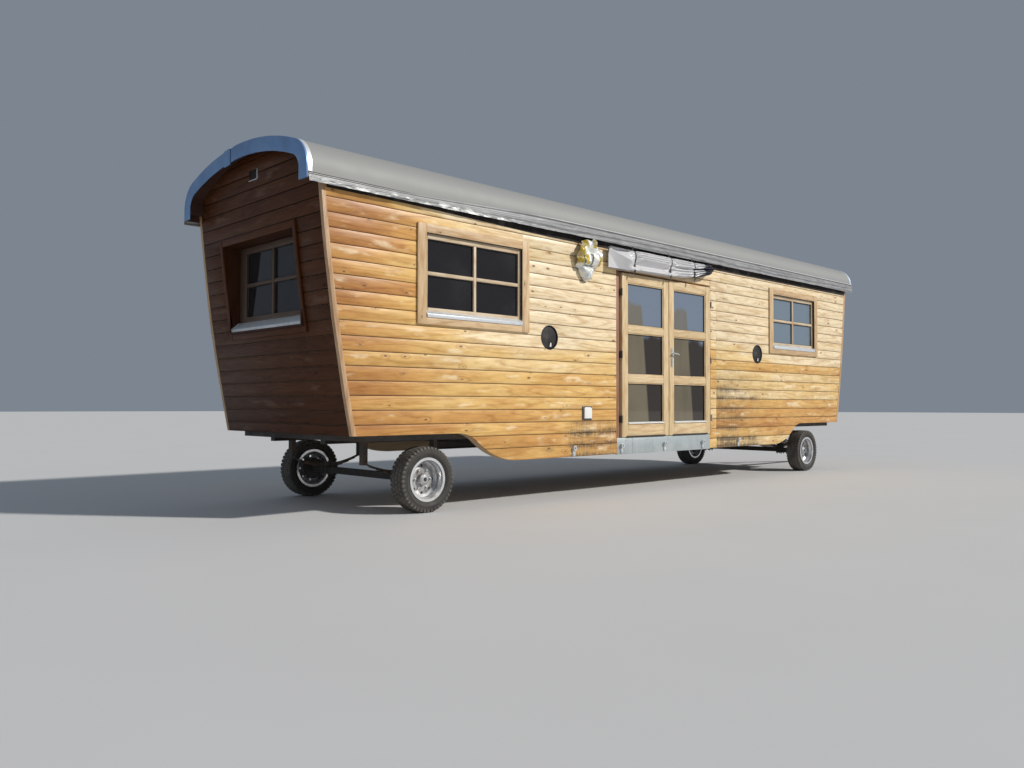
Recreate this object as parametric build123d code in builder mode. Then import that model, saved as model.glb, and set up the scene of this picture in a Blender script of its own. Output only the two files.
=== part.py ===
from build123d import *
import os
from math import asin, atan, cos, degrees, hypot, radians, sin, sqrt

# A long timber living wagon on four wheels: leaning ends, an arched roof, glazed double doors in
# its right side, a steered front axle on a turntable and a drawbar whose eye rests on the ground.
# Millimetres, +X to the front, +Z up, the ground at Z = 0.

os.makedirs("parts", exist_ok=True)

# Body shell
HALF_WIDTH = 1250       # outer face of the boards, from the centreline
BOARD_THICKNESS = 22
WALL_THICKNESS = 110    # boards, frame, insulation and lining together
BOARD_PITCH = 138.8
BOARD_GAP = 6
SKIRT_HIGH = 790        # lower edge of the walls over the wheels
SKIRT_LOW = 478         # lower edge of the walls between the axles
DIP_X = 2780            # half the length of the low stretch
SHOULDER_X = 3640       # where the high stretch begins
PLATE_Z = 3160          # top of the side walls
CORNER_WIDTH = 45
CORNER_PROUD = 3

# Leaning ends: each is an upright arc, bulging outwards
END_FOOT_X = 4930
LEAN_RADIUS = 19000
LEAN_CENTRE_Z = 4780

# Roof
ROOF_HALF_LENGTH = 5430
ROOF_HALF_WIDTH = 1285
RIDGE_Z = 3665
SPRING_Z = 3402         # where the roof's top arc would meet its upright edge
SHOULDER_ROUND = 300
EAVE_Z = 3100
CEILING_TOP = 3595
CEILING_EDGE = 3300
MEMBRANE = 5
FASCIA_DEPTH = 140
FASCIA_THICKNESS = 9
FASCIA_LAP_Y = 120
EAVE_STRIP = ((0, -4), (0, 50), (6, 50), (42, -12), (42, -38), (32, -40))    # out and up from the eave

# Windows
WINDOW_X = 3410
CASING = (1560, 1005)
CASING_Z = 2386
CASING_THICKNESS = 22
LIGHT = (1340, 830)     # the opening inside the casing
LIGHT_Z = 2385
REBATE = 10             # how far the frame runs behind the casing
FRAME_DEPTH = 68
FRAME_FACE = 1240       # outer face of a side window's frame, from the centreline
GLAZED = (1270, 690)    # the glass seen between a side frame's members
GLAZED_Z = 2400
GLAZING_BAR = 38
BAR_DEPTH = 28
BAR_TENON = 10          # how far a glazing bar runs into the frame
PANE = 12
END_CASING = (1555, 1055)
END_CASING_Z = 2299
END_LIGHT = (1450, 905)
END_LIGHT_Z = 2303
END_GLAZED = (1110, 672)
END_GLAZED_Z = 2346
END_FRAME_FACE = 5070   # plumb face of an end window's frame, from the middle
END_SASH = (1330, 803)  # the sash that stands proud inside an end window's frame
END_SASH_Z = 2346
SASH_PROUD = 12
REVEAL = 20
REVEAL_BLANK = 400      # length of the lining's boards before they are cut to the lean
SILL_LIP = 8            # thickness of a sill's turned-down front
SILL_DROP = 15          # how far the lip hangs over the casing
SILL_RISE = (20, 52)    # height of a side sill at its lip and at the frame
END_SILL_RISE = (30, 104)

# Doorway
DOORWAY_HALF = 1085
DOORWAY_LOW = 670
DOORWAY_HIGH = 2830
STRIP_X = 1012          # the boards run in over the frame's front jamb as far as this
STRIP_SEAM_X = 1155     # where those short boards butt against the long ones
SEAM = 2
DOOR_FRAME_FACE = 1190
STOP_FACE = 1245        # outer face of the frame's raised edge
STOP_HALF = 1022
STOP_LOW = 2765
DOOR_FRAME_INNER_HALF = 970
THRESHOLD_Z = 740
HEAD_Z = 2720
LEAF_FACE = 1265
LEAF_DEPTH = 68
LEAF_MEET = 6           # from the middle to a leaf's free edge
LEAF_OUT = 984          # from the middle to a leaf's hinge edge
LEAF_LOW = 680
LEAF_HIGH = 2735
PANE_ROWS = ((850, 1365), (1460, 1990), (2080, 2620))
PANE_IN = 115
PANE_OUT = 870
HINGE_X = 1000
HINGE_Y = 1275
HINGE_ROWS = (905, 1710, 2490)
HINGE_HEIGHT = 90
HINGE_RADIUS = 8
HINGE_PLATE = 4
HANDLE_PLATE = (250, 34, 8)     # height, width and thickness
HANDLE_PLATE_Z = 1715
LEVER_Z = 1765
LEVER = (134, 20, 14)
LEVER_REACH = 38
SPINDLE_RADIUS = 10
SILL_PLATE = (-1075, 980)
SILL_PLATE_THICKNESS = 4
SILL_PLATE_RETURN = 30

# Small fittings on the right side
PORT_X = 2285
PORT_Z = 1850
PORT_RADIUS = 140
PORT_DEPTH = 86
PORT_WALL = 9
PORT_FLOOR = 6
PORT_PROUD = 3
HOOK_ON_PLATE = HALF_WIDTH + SILL_PLATE_THICKNESS
HOOK_PLACES = (
    (-1876, HALF_WIDTH),
    (-993, HOOK_ON_PLATE),
    (-95, HOOK_ON_PLATE),
    (792, HOOK_ON_PLATE),
    (1727, HALF_WIDTH),
)
HOOK_WIDTH = 42
HOOK_LOW = 484
HOOK_HEAD_Z = 578
HOOK_HEAD_RADIUS = 28
HOOK_BORE_RADIUS = 15
HOOK_THICKNESS = 12
HOOK_HEAD_DEPTH = 34
INLET = (-1640, 985)
INLET_FLANGE = (170, 165, 12)
INLET_LID = (150, 145, 16)
INLET_ROUND = 8
VENT = (170, 100)       # the opening high in the rear gable
VENT_CENTRE = (-25, 3380)
LAMP = (-1650, 2795)
LAMP_RINGS = ((2, 150, 170), (75, 470, 510), (150, 190, 200))     # reach, width and height
AWNING = (-1300, 970)
AWNING_CENTRE = (-1337, 2893)
AWNING_HALF = (62, 138)

# Floor and chassis
FLOOR_LOW = 700
FLOOR_STEP_X = 2600
FLOOR_THICKNESS = 60
FLOOR_END_X = 4810
BEAM_Y = 500
BEAM_WIDTH = 82
BEAM_LOW = 520
BEAM_HIGH = 690
BEAM_END_X = 4780
CRANK_X = 2480          # where the beams start to rise over the wheels
FLANGE = 10
WEB = 8
MEMBER_WIDTH = 60
RAIL_WIDTH = 40
LOW_MEMBERS = (-2500, -1650, -550, 550, 1650, 2500)
LOW_MEMBER_DEPTH = 80
HIGH_MEMBERS = (2700, 3620, 4340, 4750)
HIGH_MEMBER_DEPTH = 60

# Running gear
AXLE_X = 3980
AXLE_Z = 332
TYRE_RADIUS = 332
TYRE_HALF_WIDTH = 107.5
WHEEL_Y = 1082.5
BORE_RADIUS = 25.3
TYRE_HALF = (           # out from the wheel's middle plane, and radius
    (84, 206),
    (84, 224),
    (102, 246),
    (TYRE_HALF_WIDTH, 268),
    (105, 294),
    (98, 316),
    (82, TYRE_RADIUS),
    (0, TYRE_RADIUS),
    (0, TYRE_RADIUS - 18),
    (76, TYRE_RADIUS - 18),
    (93, 268),
    (68, 224),
    (68, 206),
)
BARREL = (
    (86, 222),
    (86, 204),
    (62, 203),
    (34, 190),
    (-34, 190),
    (-62, 203),
    (-86, 204),
    (-86, 222),
    (-92, 222),
    (-92, 196),
    (-62, 195),
    (-36, 182),
    (36, 182),
    (62, 195),
    (92, 196),
    (92, 222),
)
DISC = ((4, 184), (-4, 184), (-26, 158), (-14, 118), (-18, 30), (-10, 30), (-6, 116), (-17, 156))
HUB = (
    (-62, BORE_RADIUS),
    (-62, 66),
    (-14, 66),
    (-10, 60),
    (30, 58),
    (38, 52),
    (42, 40),
    (42, 0),
    (-6, 0),
    (-6, BORE_RADIUS),
)
VENT_RING = 138         # the ring of holes in a wheel's disc
VENT_COUNT = 8
VENT_RADIUS = 14
AXLE_BEAM = 70
AXLE_BEAM_END = WHEEL_Y - 110
STUB_RADIUS = 25
STUB_END = WHEEL_Y - 10
BACK_PLATE_RADIUS = 120
BACK_PLATE = (WHEEL_Y - 112, WHEEL_Y - 72)
SPRING_Y = 700
SPRING_HALF = 450
SPRING_WIDTH = 60
SPRING_SEAT = AXLE_Z + AXLE_BEAM / 2
SPRING_LIFT = 95
SPRING_SHARES = (1.0, 0.82, 0.62, 0.42)     # each leaf's length as a share of the longest
LEAF_THICKNESS = 9
SPRING_CLAMP = (110, 52)
HANGER = (50, 76)
HANGER_LAP = 20         # how far a hanger reaches down over the spring's end
TURNTABLE_OUTER = 450
TURNTABLE_INNER = 385
TURNTABLE_PLATE = 22
TURNTABLE_SLIP = 2      # space between the two rings
PAD = (60, 300, 40)
PAD_X = 360
BOGIE_PLATE = 20
BOGIE_MEMBER = 80
BOGIE_MEMBER_X = 380
BOGIE_RAIL = 60
BOGIE_TOP = BEAM_HIGH - TURNTABLE_PLATE - TURNTABLE_SLIP

# Drawbar
HITCH_X = AXLE_X + 490
HITCH_Z = 500
LUG_Y = 400
LUG_SIDE = ((-80, 106), (-80, 66), (-34, -34), (24, -34), (24, 106))    # about the hinge line
LUG_HALF = 58
LUG_SLOT = (120, 130)
LUG_SLOT_HALF = 46
LUG_SLOT_DROP = 10
PIN_RADIUS = 12
PIN_HALF = 64
PIN_BORE = 12.3
KNUCKLE_RADIUS = 30
KNUCKLE_HALF = 40
BAR_THICKNESS = 60
BAR_OUTLINE = (         # the triangle seen from above, along and across
    (-22, 440),
    (200, 440),
    (1620, 75),
    (1880, 45),
    (1880, -45),
    (1620, -75),
    (200, -440),
    (-22, -440),
    (-22, -360),
    (170, -360),
    (1480, -20),
    (1480, 20),
    (170, 360),
    (-22, 360),
)
BAR_BRACE = (60, 620, 50)
BAR_BRACE_X = 420
NOSE_PLATE = (24, 120, 80)
NOSE_X = BAR_OUTLINE[3][0]
EYE_SHANK = (170, 44)
EYE_SHANK_BACK = 115    # from the middle of the eye back to the middle of its shank
BAR_LENGTH = 2100       # hinge line to the middle of the eye
EYE_OUTER = 55
EYE_RADIUS = 20
EYE_HALF = 15
BAR_ANGLE = asin(HITCH_Z / hypot(BAR_LENGTH + EYE_OUTER, EYE_HALF)) - atan(
    EYE_HALF / (BAR_LENGTH + EYE_OUTER)
)
FRONT_REACH = HITCH_X + (BAR_LENGTH + EYE_OUTER) * cos(BAR_ANGLE) + EYE_HALF * sin(BAR_ANGLE)
REAR_REACH = ROOF_HALF_LENGTH + 2 * FASCIA_THICKNESS

# The middle of the body, so that the whole wagon with its drawbar is centred on X = 0
MID = (REAR_REACH - FRONT_REACH) / 2
SIDE = Plane(origin=(MID, 0, 0), x_dir=(1, 0, 0), z_dir=(0, -1, 0))
END = Plane(origin=(MID, 0, 0), x_dir=(0, 1, 0), z_dir=(1, 0, 0))
TOP = Plane(origin=(MID, 0, 0), x_dir=(1, 0, 0), z_dir=(0, 0, 1))

CORE_OUT = HALF_WIDTH - BOARD_THICKNESS
CORE_IN = HALF_WIDTH - WALL_THICKNESS
END_HALF = HALF_WIDTH - CORNER_WIDTH
SKIRT_ANGLE = 2 * degrees(atan((SKIRT_HIGH - SKIRT_LOW) / (SHOULDER_X - DIP_X)))
SKIRT_ROUNDS = (SHOULDER_X - DIP_X) / sin(radians(SKIRT_ANGLE))
DIP_ROUND = 0.69 * SKIRT_ROUNDS
SHOULDER_SKIRT_ROUND = SKIRT_ROUNDS - DIP_ROUND


def save(piece, name):
    """Label a finished piece and write it under its name."""
    piece.part.label = name
    export_step(piece.part, f"parts/{name}.step")


def end_x(z, inset=0):
    """How far an end wall's face stands from the middle at height z."""
    at_foot = sqrt(LEAN_RADIUS**2 - (LEAN_CENTRE_Z - SKIRT_HIGH) ** 2)
    return END_FOOT_X - inset + sqrt(LEAN_RADIUS**2 - (LEAN_CENTRE_Z - z) ** 2) - at_foot


def side_slab(side, inner, outer):
    """The plane to sketch on for a slab between two distances from the centreline.

    Extruding the sketch by inner - outer fills the slab; side is -1 on the right, 1 on the left.
    """
    return SIDE.offset(outer if side < 0 else -inner)


def side_face(inset):
    """The side of the body seen square on, its leaning ends drawn in by the inset."""
    with BuildSketch() as face:
        with BuildLine():
            low = Line((0, SKIRT_LOW), (DIP_X, SKIRT_LOW))
            dip = JernArc(low @ 1, (1, 0), DIP_ROUND, SKIRT_ANGLE)
            shoulder = JernArc(dip @ 1, dip % 1, SHOULDER_SKIRT_ROUND, -SKIRT_ANGLE)
            foot = Line(shoulder @ 1, (end_x(SKIRT_HIGH, inset), SKIRT_HIGH))
            mid_z = (SKIRT_HIGH + PLATE_Z) / 2
            lean = ThreePointArc(foot @ 1, (end_x(mid_z, inset), mid_z), (end_x(PLATE_Z, inset), PLATE_Z))
            Polyline(lean @ 1, (0, PLATE_Z), (0, SKIRT_LOW))
        make_face()
        mirror(about=Plane.YZ)
    return face.sketch


def lean_band(end, inner, outer, low, high):
    """The slice of an end wall between two insets, seen from the side; end is -1 or 1."""
    mid_z = (low + high) / 2
    with BuildSketch() as band:
        with BuildLine():
            out = ThreePointArc(
                (end * end_x(low, outer), low),
                (end * end_x(mid_z, outer), mid_z),
                (end * end_x(high, outer), high),
            )
            back = ThreePointArc(
                (end * end_x(low, inner), low),
                (end * end_x(mid_z, inner), mid_z),
                (end * end_x(high, inner), high),
            )
            Line(out @ 0, back @ 0)
            Line(out @ 1, back @ 1)
        make_face()
    return band.sketch


def section_below_ceiling(half):
    """Cross-section under the ceiling, as wide as half each side up to the wall plates."""
    with BuildSketch() as section:
        with BuildLine():
            Polyline((0, 0), (half, 0), (half, PLATE_Z), (CORE_IN, PLATE_Z), (CORE_IN, CEILING_EDGE))
            TangentArc((0, CEILING_TOP), (CORE_IN, CEILING_EDGE), tangent=(1, 0))
            Line((0, CEILING_TOP), (0, 0))
        make_face()
        mirror(about=Plane.YZ)
    return section.sketch


def roof_outline():
    """Cross-section inside the roof's outer surface, down to the eaves."""
    with BuildSketch() as section:
        with BuildLine():
            top = TangentArc((0, RIDGE_Z), (ROOF_HALF_WIDTH, SPRING_Z), tangent=(1, 0))
            Polyline(top @ 1, (ROOF_HALF_WIDTH, EAVE_Z), (0, EAVE_Z), (0, RIDGE_Z))
        make_face()
        fillet(section.vertices().sort_by(Axis.X)[-2:].sort_by(Axis.Y)[-1], radius=SHOULDER_ROUND)
        mirror(about=Plane.YZ)
    return section.sketch


# Side walls: structural panels behind the boards, with their windows, doorway and ports cut
core_face = side_face(WALL_THICKNESS)
window_hole = (LIGHT[0] + 2 * REBATE, LIGHT[1] + 2 * REBATE)
doorway_size = (2 * DOORWAY_HALF, DOORWAY_HIGH - DOORWAY_LOW)
doorway_centre = (0, (DOORWAY_HIGH + DOORWAY_LOW) / 2)
for name, side in (("door_side_wall", -1), ("back_side_wall", 1)):
    with BuildPart() as wall:
        with BuildSketch(side_slab(side, CORE_IN, CORE_OUT)):
            add(core_face)
            with Locations((-WINDOW_X, LIGHT_Z), (WINDOW_X, LIGHT_Z)):
                Rectangle(*window_hole, mode=Mode.SUBTRACT)
            if side < 0:
                with Locations(doorway_centre):
                    Rectangle(*doorway_size, mode=Mode.SUBTRACT)
        extrude(amount=CORE_IN - CORE_OUT)
        if side < 0:
            with BuildSketch(SIDE.offset(CORE_OUT)):
                with Locations((-PORT_X, PORT_Z), (PORT_X, PORT_Z)):
                    Circle(PORT_RADIUS)
            extrude(amount=HALF_WIDTH - CORE_OUT - PORT_DEPTH, mode=Mode.SUBTRACT)
    save(wall, name)

# Side boards: one solid for each board or stretch of board, with open shadow gaps between
board_face = side_face(CORNER_WIDTH)
gap_rows = [SKIRT_LOW - BOARD_GAP / 2 + row * BOARD_PITCH for row in range(1, 20)]
for name, side in (("door_side_boards", -1), ("back_side_boards", 1)):
    with BuildPart() as boards:
        with BuildSketch(side_slab(side, CORE_OUT, HALF_WIDTH)):
            add(board_face)
            with Locations(*[(0, z) for z in gap_rows]):
                Rectangle(2.4 * END_FOOT_X, BOARD_GAP, mode=Mode.SUBTRACT)
            with Locations((-WINDOW_X, LIGHT_Z), (WINDOW_X, LIGHT_Z)):
                Rectangle(*window_hole, mode=Mode.SUBTRACT)
            if side < 0:
                with Locations(((STRIP_X - DOORWAY_HALF) / 2, doorway_centre[1])):
                    Rectangle(STRIP_X + DOORWAY_HALF, doorway_size[1], mode=Mode.SUBTRACT)
                with Locations((STRIP_SEAM_X, doorway_centre[1])):
                    Rectangle(SEAM, doorway_size[1], mode=Mode.SUBTRACT)
                with Locations((-PORT_X, PORT_Z), (PORT_X, PORT_Z)):
                    Circle(PORT_RADIUS, mode=Mode.SUBTRACT)
        extrude(amount=CORE_OUT - HALF_WIDTH)
    save(boards, name)

# End walls and their boards: leaning slabs cut to the ceiling's arch, each with one window
under_roof = section_below_ceiling(END_HALF)
end_hole = (END_LIGHT[0] + 2 * REVEAL, END_LIGHT[1] + 2 * REVEAL)
end_gap_rows = [SKIRT_LOW - BOARD_GAP / 2 + row * BOARD_PITCH for row in range(3, 23)]
for name, end in (("rear_end", -1), ("front_end", 1)):
    with BuildPart() as wall:
        with BuildSketch(SIDE):
            add(lean_band(end, WALL_THICKNESS, BOARD_THICKNESS, SKIRT_HIGH, CEILING_TOP))
        extrude(amount=END_HALF, both=True)
        with BuildSketch(END):
            add(under_roof)
        extrude(amount=2 * END_FOOT_X, both=True, mode=Mode.INTERSECT)
        with BuildSketch(END):
            with Locations((0, END_LIGHT_Z)):
                Rectangle(*end_hole)
        extrude(amount=2 * END_FOOT_X, both=True, mode=Mode.SUBTRACT)
    save(wall, f"{name}_wall")
    with BuildPart() as boards:
        with BuildSketch(SIDE):
            add(lean_band(end, BOARD_THICKNESS, 0, SKIRT_HIGH, CEILING_TOP))
        extrude(amount=END_HALF, both=True)
        with BuildSketch(END):
            add(under_roof)
            with Locations(*[(0, z) for z in end_gap_rows]):
                Rectangle(3 * HALF_WIDTH, BOARD_GAP, mode=Mode.SUBTRACT)
            with Locations((0, END_LIGHT_Z)):
                Rectangle(*end_hole, mode=Mode.SUBTRACT)
        extrude(amount=2 * END_FOOT_X, both=True, mode=Mode.INTERSECT)
        if end < 0:
            with BuildSketch(END):
                with Locations(VENT_CENTRE):
                    Rectangle(*VENT)
            extrude(amount=-2 * END_FOOT_X, mode=Mode.SUBTRACT)
    save(boards, f"{name}_boards")

# Corner boards, bent to the lean of the ends
with BuildPart() as corner_boards:
    for end in (-1, 1):
        for side in (-1, 1):
            with BuildSketch(side_slab(side, END_HALF, HALF_WIDTH + CORNER_PROUD)):
                add(lean_band(end, CORNER_WIDTH, -CORNER_PROUD, SKIRT_HIGH, PLATE_Z))
            extrude(amount=END_HALF - HALF_WIDTH - CORNER_PROUD)
save(corner_boards, "corner_boards")

# Roof: a thick arched shell that sits on the wall plates and hangs past the boards
roof_face = roof_outline()
with BuildPart() as roof_shell:
    with BuildSketch(END):
        add(roof_face)
        add(section_below_ceiling(HALF_WIDTH + 4), mode=Mode.SUBTRACT)
    extrude(amount=ROOF_HALF_LENGTH, both=True)
save(roof_shell, "roof_shell")

with BuildPart() as roof_membrane:
    with BuildSketch(END):
        add(roof_face)
        offset(amount=MEMBRANE, kind=Kind.INTERSECTION)
        add(roof_face, mode=Mode.SUBTRACT)
        with Locations((0, EAVE_Z)):
            Rectangle(3 * HALF_WIDTH, 2 * MEMBRANE + 1, mode=Mode.SUBTRACT)
    extrude(amount=ROOF_HALF_LENGTH, both=True)
save(roof_membrane, "roof_membrane")

with BuildPart() as eave_trims:
    for side in (-1, 1):
        edge = ROOF_HALF_WIDTH + MEMBRANE
        strip = [(side * (edge + out), EAVE_Z + up) for out, up in EAVE_STRIP]
        with BuildSketch(END):
            with BuildLine():
                Polyline(*strip, close=True)
            make_face()
        extrude(amount=ROOF_HALF_LENGTH, both=True)
save(eave_trims, "eave_trims")

# Gable fascias: sheet-metal arches in two lengths, the right-hand one lapped over the other
with BuildSketch() as fascia_band:
    add(roof_face)
    offset(amount=MEMBRANE, kind=Kind.INTERSECTION)
    with BuildSketch(mode=Mode.SUBTRACT):
        add(roof_face)
        offset(amount=MEMBRANE - FASCIA_DEPTH, kind=Kind.INTERSECTION)
    with Locations((0, EAVE_Z)):
        Rectangle(2 * (ROOF_HALF_WIDTH + MEMBRANE - FASCIA_DEPTH), 2 * FASCIA_DEPTH, mode=Mode.SUBTRACT)
with BuildPart() as gable_fascias:
    for end in (-1, 1):
        with BuildSketch(END.offset(end * ROOF_HALF_LENGTH)):
            add(fascia_band.sketch)
        extrude(amount=end * FASCIA_THICKNESS)
        with BuildSketch(END.offset(end * (ROOF_HALF_LENGTH + FASCIA_THICKNESS))):
            add(fascia_band.sketch)
            with Locations((FASCIA_LAP_Y + HALF_WIDTH, RIDGE_Z)):
                Rectangle(2 * HALF_WIDTH, 2 * RIDGE_Z, mode=Mode.SUBTRACT)
        extrude(amount=end * FASCIA_THICKNESS)
save(gable_fascias, "gable_fascias")

# Window casings, flat on the sides and bent to the lean on the ends
WINDOWS = ((-1, -WINDOW_X), (-1, WINDOW_X), (1, -WINDOW_X), (1, WINDOW_X))
with BuildPart() as window_casings:
    for side, x in WINDOWS:
        with BuildSketch(side_slab(side, HALF_WIDTH, HALF_WIDTH + CASING_THICKNESS)):
            with Locations((x, CASING_Z)):
                Rectangle(*CASING)
            with Locations((x, LIGHT_Z)):
                Rectangle(*LIGHT, mode=Mode.SUBTRACT)
        extrude(amount=-CASING_THICKNESS)
    casing_low = END_CASING_Z - END_CASING[1] / 2
    casing_high = END_CASING_Z + END_CASING[1] / 2
    for end in (-1, 1):
        with BuildSketch(SIDE):
            add(lean_band(end, 0, -CASING_THICKNESS, casing_low, casing_high))
        extrude(amount=END_CASING[0] / 2, both=True)
        with BuildSketch(END.offset(end * END_FOOT_X)):
            with Locations((0, END_LIGHT_Z)):
                Rectangle(*END_LIGHT)
        extrude(amount=end * 500, mode=Mode.SUBTRACT)
save(window_casings, "window_casings")

# Deep wooden linings round the end windows, cut to the lean of the wall outside
with BuildPart() as end_reveals:
    for end in (-1, 1):
        with BuildSketch(END.offset(end * (END_FRAME_FACE - FRAME_DEPTH))):
            with Locations((0, END_LIGHT_Z)):
                Rectangle(*end_hole)
                Rectangle(*END_LIGHT, mode=Mode.SUBTRACT)
        extrude(amount=end * REVEAL_BLANK)
        with BuildSketch(SIDE):
            add(lean_band(end, 0, -REVEAL_BLANK, SKIRT_HIGH, CEILING_TOP))
        extrude(amount=HALF_WIDTH, both=True, mode=Mode.SUBTRACT)
save(end_reveals, "end_reveals")

# Window frames with crossed glazing bars; an end window's stands plumb in its lining
with BuildPart() as window_frames:
    for side, x in WINDOWS:
        with BuildSketch(side_slab(side, FRAME_FACE - FRAME_DEPTH, FRAME_FACE)):
            with Locations((x, LIGHT_Z)):
                Rectangle(*window_hole)
            with Locations((x, GLAZED_Z)):
                Rectangle(*GLAZED, mode=Mode.SUBTRACT)
        extrude(amount=-FRAME_DEPTH)
        with BuildSketch(side_slab(side, FRAME_FACE - BAR_DEPTH, FRAME_FACE)):
            with Locations((x, GLAZED_Z)):
                Rectangle(GLAZED[0] + 2 * BAR_TENON, GLAZING_BAR)
                Rectangle(GLAZING_BAR, GLAZED[1] + 2 * BAR_TENON)
        extrude(amount=-BAR_DEPTH)
    for end in (-1, 1):
        with BuildSketch(END.offset(end * (END_FRAME_FACE - FRAME_DEPTH))):
            with Locations((0, END_LIGHT_Z)):
                Rectangle(*END_LIGHT)
            with Locations((0, END_GLAZED_Z)):
                Rectangle(*END_GLAZED, mode=Mode.SUBTRACT)
        extrude(amount=end * (FRAME_DEPTH - SASH_PROUD))
        with BuildSketch(END.offset(end * (END_FRAME_FACE - BAR_DEPTH))):
            with Locations((0, END_SASH_Z)):
                Rectangle(*END_SASH)
            with Locations((0, END_GLAZED_Z)):
                Rectangle(*END_GLAZED, mode=Mode.SUBTRACT)
                Rectangle(END_GLAZED[0] + 2 * BAR_TENON, GLAZING_BAR)
                Rectangle(GLAZING_BAR, END_GLAZED[1] + 2 * BAR_TENON)
        extrude(amount=end * BAR_DEPTH)
save(window_frames, "window_frames")

with BuildPart() as window_glass:
    glass_face = FRAME_FACE - BAR_DEPTH
    for side, x in WINDOWS:
        with BuildSketch(side_slab(side, glass_face - PANE, glass_face)):
            with Locations((x, GLAZED_Z)):
                Rectangle(*GLAZED)
        extrude(amount=-PANE)
    for end in (-1, 1):
        with BuildSketch(END.offset(end * (END_FRAME_FACE - BAR_DEPTH))):
            with Locations((0, END_GLAZED_Z)):
                Rectangle(*END_GLAZED)
        extrude(amount=-end * PANE)
save(window_glass, "window_glass")

# Sloping metal sills
with BuildPart() as window_sills:
    sill_low = LIGHT_Z - LIGHT[1] / 2
    for side, x in WINDOWS:
        with BuildSketch(END.offset(x - LIGHT[0] / 2)):
            with BuildLine():
                Polyline(
                    (side * FRAME_FACE, sill_low),
                    (side * (HALF_WIDTH + CASING_THICKNESS), sill_low),
                    (side * (HALF_WIDTH + CASING_THICKNESS), sill_low - SILL_DROP),
                    (side * (HALF_WIDTH + CASING_THICKNESS + SILL_LIP), sill_low - SILL_DROP),
                    (side * (HALF_WIDTH + CASING_THICKNESS + SILL_LIP), sill_low + SILL_RISE[0]),
                    (side * FRAME_FACE, sill_low + SILL_RISE[1]),
                    close=True,
                )
            make_face()
        extrude(amount=LIGHT[0])
    end_sill_low = END_LIGHT_Z - END_LIGHT[1] / 2
    end_sash_low = END_SASH_Z - END_SASH[1] / 2
    for end in (-1, 1):
        lip_x = end * (end_x(end_sill_low) + CASING_THICKNESS + SILL_LIP)
        with BuildSketch(SIDE.offset(-END_LIGHT[0] / 2)):
            with BuildLine():
                Polyline(
                    (end * (END_FRAME_FACE - SASH_PROUD), end_sill_low),
                    (lip_x, end_sill_low),
                    (lip_x, end_sill_low + END_SILL_RISE[0]),
                    (end * END_FRAME_FACE, end_sill_low + END_SILL_RISE[1]),
                    (end * END_FRAME_FACE, end_sash_low),
                    (end * (END_FRAME_FACE - SASH_PROUD), end_sash_low),
                    close=True,
                )
            make_face()
        extrude(amount=END_LIGHT[0])
save(window_sills, "window_sills")

# Door frame: rebated for the leaves, its raised edge showing at the rear jamb and over the head
with BuildPart() as door_frame:
    with BuildSketch(SIDE.offset(DOOR_FRAME_FACE)):
        with Locations(doorway_centre):
            Rectangle(*doorway_size)
        with Locations((0, (HEAD_Z + THRESHOLD_Z) / 2)):
            Rectangle(2 * DOOR_FRAME_INNER_HALF, HEAD_Z - THRESHOLD_Z, mode=Mode.SUBTRACT)
    extrude(amount=CORE_IN - DOOR_FRAME_FACE)
    with BuildSketch(SIDE.offset(DOOR_FRAME_FACE)):
        with Locations(((STRIP_X - DOORWAY_HALF) / 2, (DOORWAY_HIGH + STOP_LOW) / 2)):
            Rectangle(STRIP_X + DOORWAY_HALF, DOORWAY_HIGH - STOP_LOW)
        with Locations((-(DOORWAY_HALF + STOP_HALF) / 2, doorway_centre[1] + SILL_PLATE_THICKNESS / 2)):
            Rectangle(DOORWAY_HALF - STOP_HALF, doorway_size[1] - SILL_PLATE_THICKNESS)
    extrude(amount=STOP_FACE - DOOR_FRAME_FACE)
    with BuildSketch(SIDE.offset(DOOR_FRAME_FACE)):
        with Locations(((DOORWAY_HALF + STRIP_X) / 2, doorway_centre[1] + SILL_PLATE_THICKNESS / 2)):
            Rectangle(DOORWAY_HALF - STRIP_X, doorway_size[1] - SILL_PLATE_THICKNESS)
    extrude(amount=CORE_OUT - DOOR_FRAME_FACE)
save(door_frame, "door_frame")

# Hinge barrels with a plate back to the frame
with BuildPart() as door_hinges:
    for hand in (-1, 1):
        for z in HINGE_ROWS:
            with BuildSketch(TOP.offset(z - HINGE_HEIGHT / 2)):
                with Locations((hand * HINGE_X, -HINGE_Y)):
                    Circle(HINGE_RADIUS)
                with Locations((hand * (HINGE_X + HINGE_PLATE / 2), -(HINGE_Y + DOOR_FRAME_FACE) / 2)):
                    Rectangle(HINGE_PLATE, HINGE_Y - DOOR_FRAME_FACE)
            extrude(amount=HINGE_HEIGHT)
save(door_hinges, "door_hinges")

# Door leaves: stiles, four rails and three panes each, opening outwards
for name, hand in (("rear_door", -1), ("front_door", 1)):
    pane_x = hand * (PANE_IN + PANE_OUT) / 2
    pane_centres = [(pane_x, (low + high) / 2, high - low) for low, high in PANE_ROWS]
    with BuildPart() as leaf:
        with BuildSketch(SIDE.offset(LEAF_FACE)):
            with Locations((hand * (LEAF_MEET + LEAF_OUT) / 2, (LEAF_LOW + LEAF_HIGH) / 2)):
                Rectangle(LEAF_OUT - LEAF_MEET, LEAF_HIGH - LEAF_LOW)
            for x, z, height in pane_centres:
                with Locations((x, z)):
                    Rectangle(PANE_OUT - PANE_IN, height, mode=Mode.SUBTRACT)
        extrude(amount=-LEAF_DEPTH)
    save(leaf, f"{name}_leaf")
    with BuildPart() as glass:
        with BuildSketch(SIDE.offset(LEAF_FACE - (LEAF_DEPTH - PANE) / 2)):
            for x, z, height in pane_centres:
                with Locations((x, z)):
                    Rectangle(PANE_OUT - PANE_IN, height)
        extrude(amount=-PANE)
    save(glass, f"{name}_glass")

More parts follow.
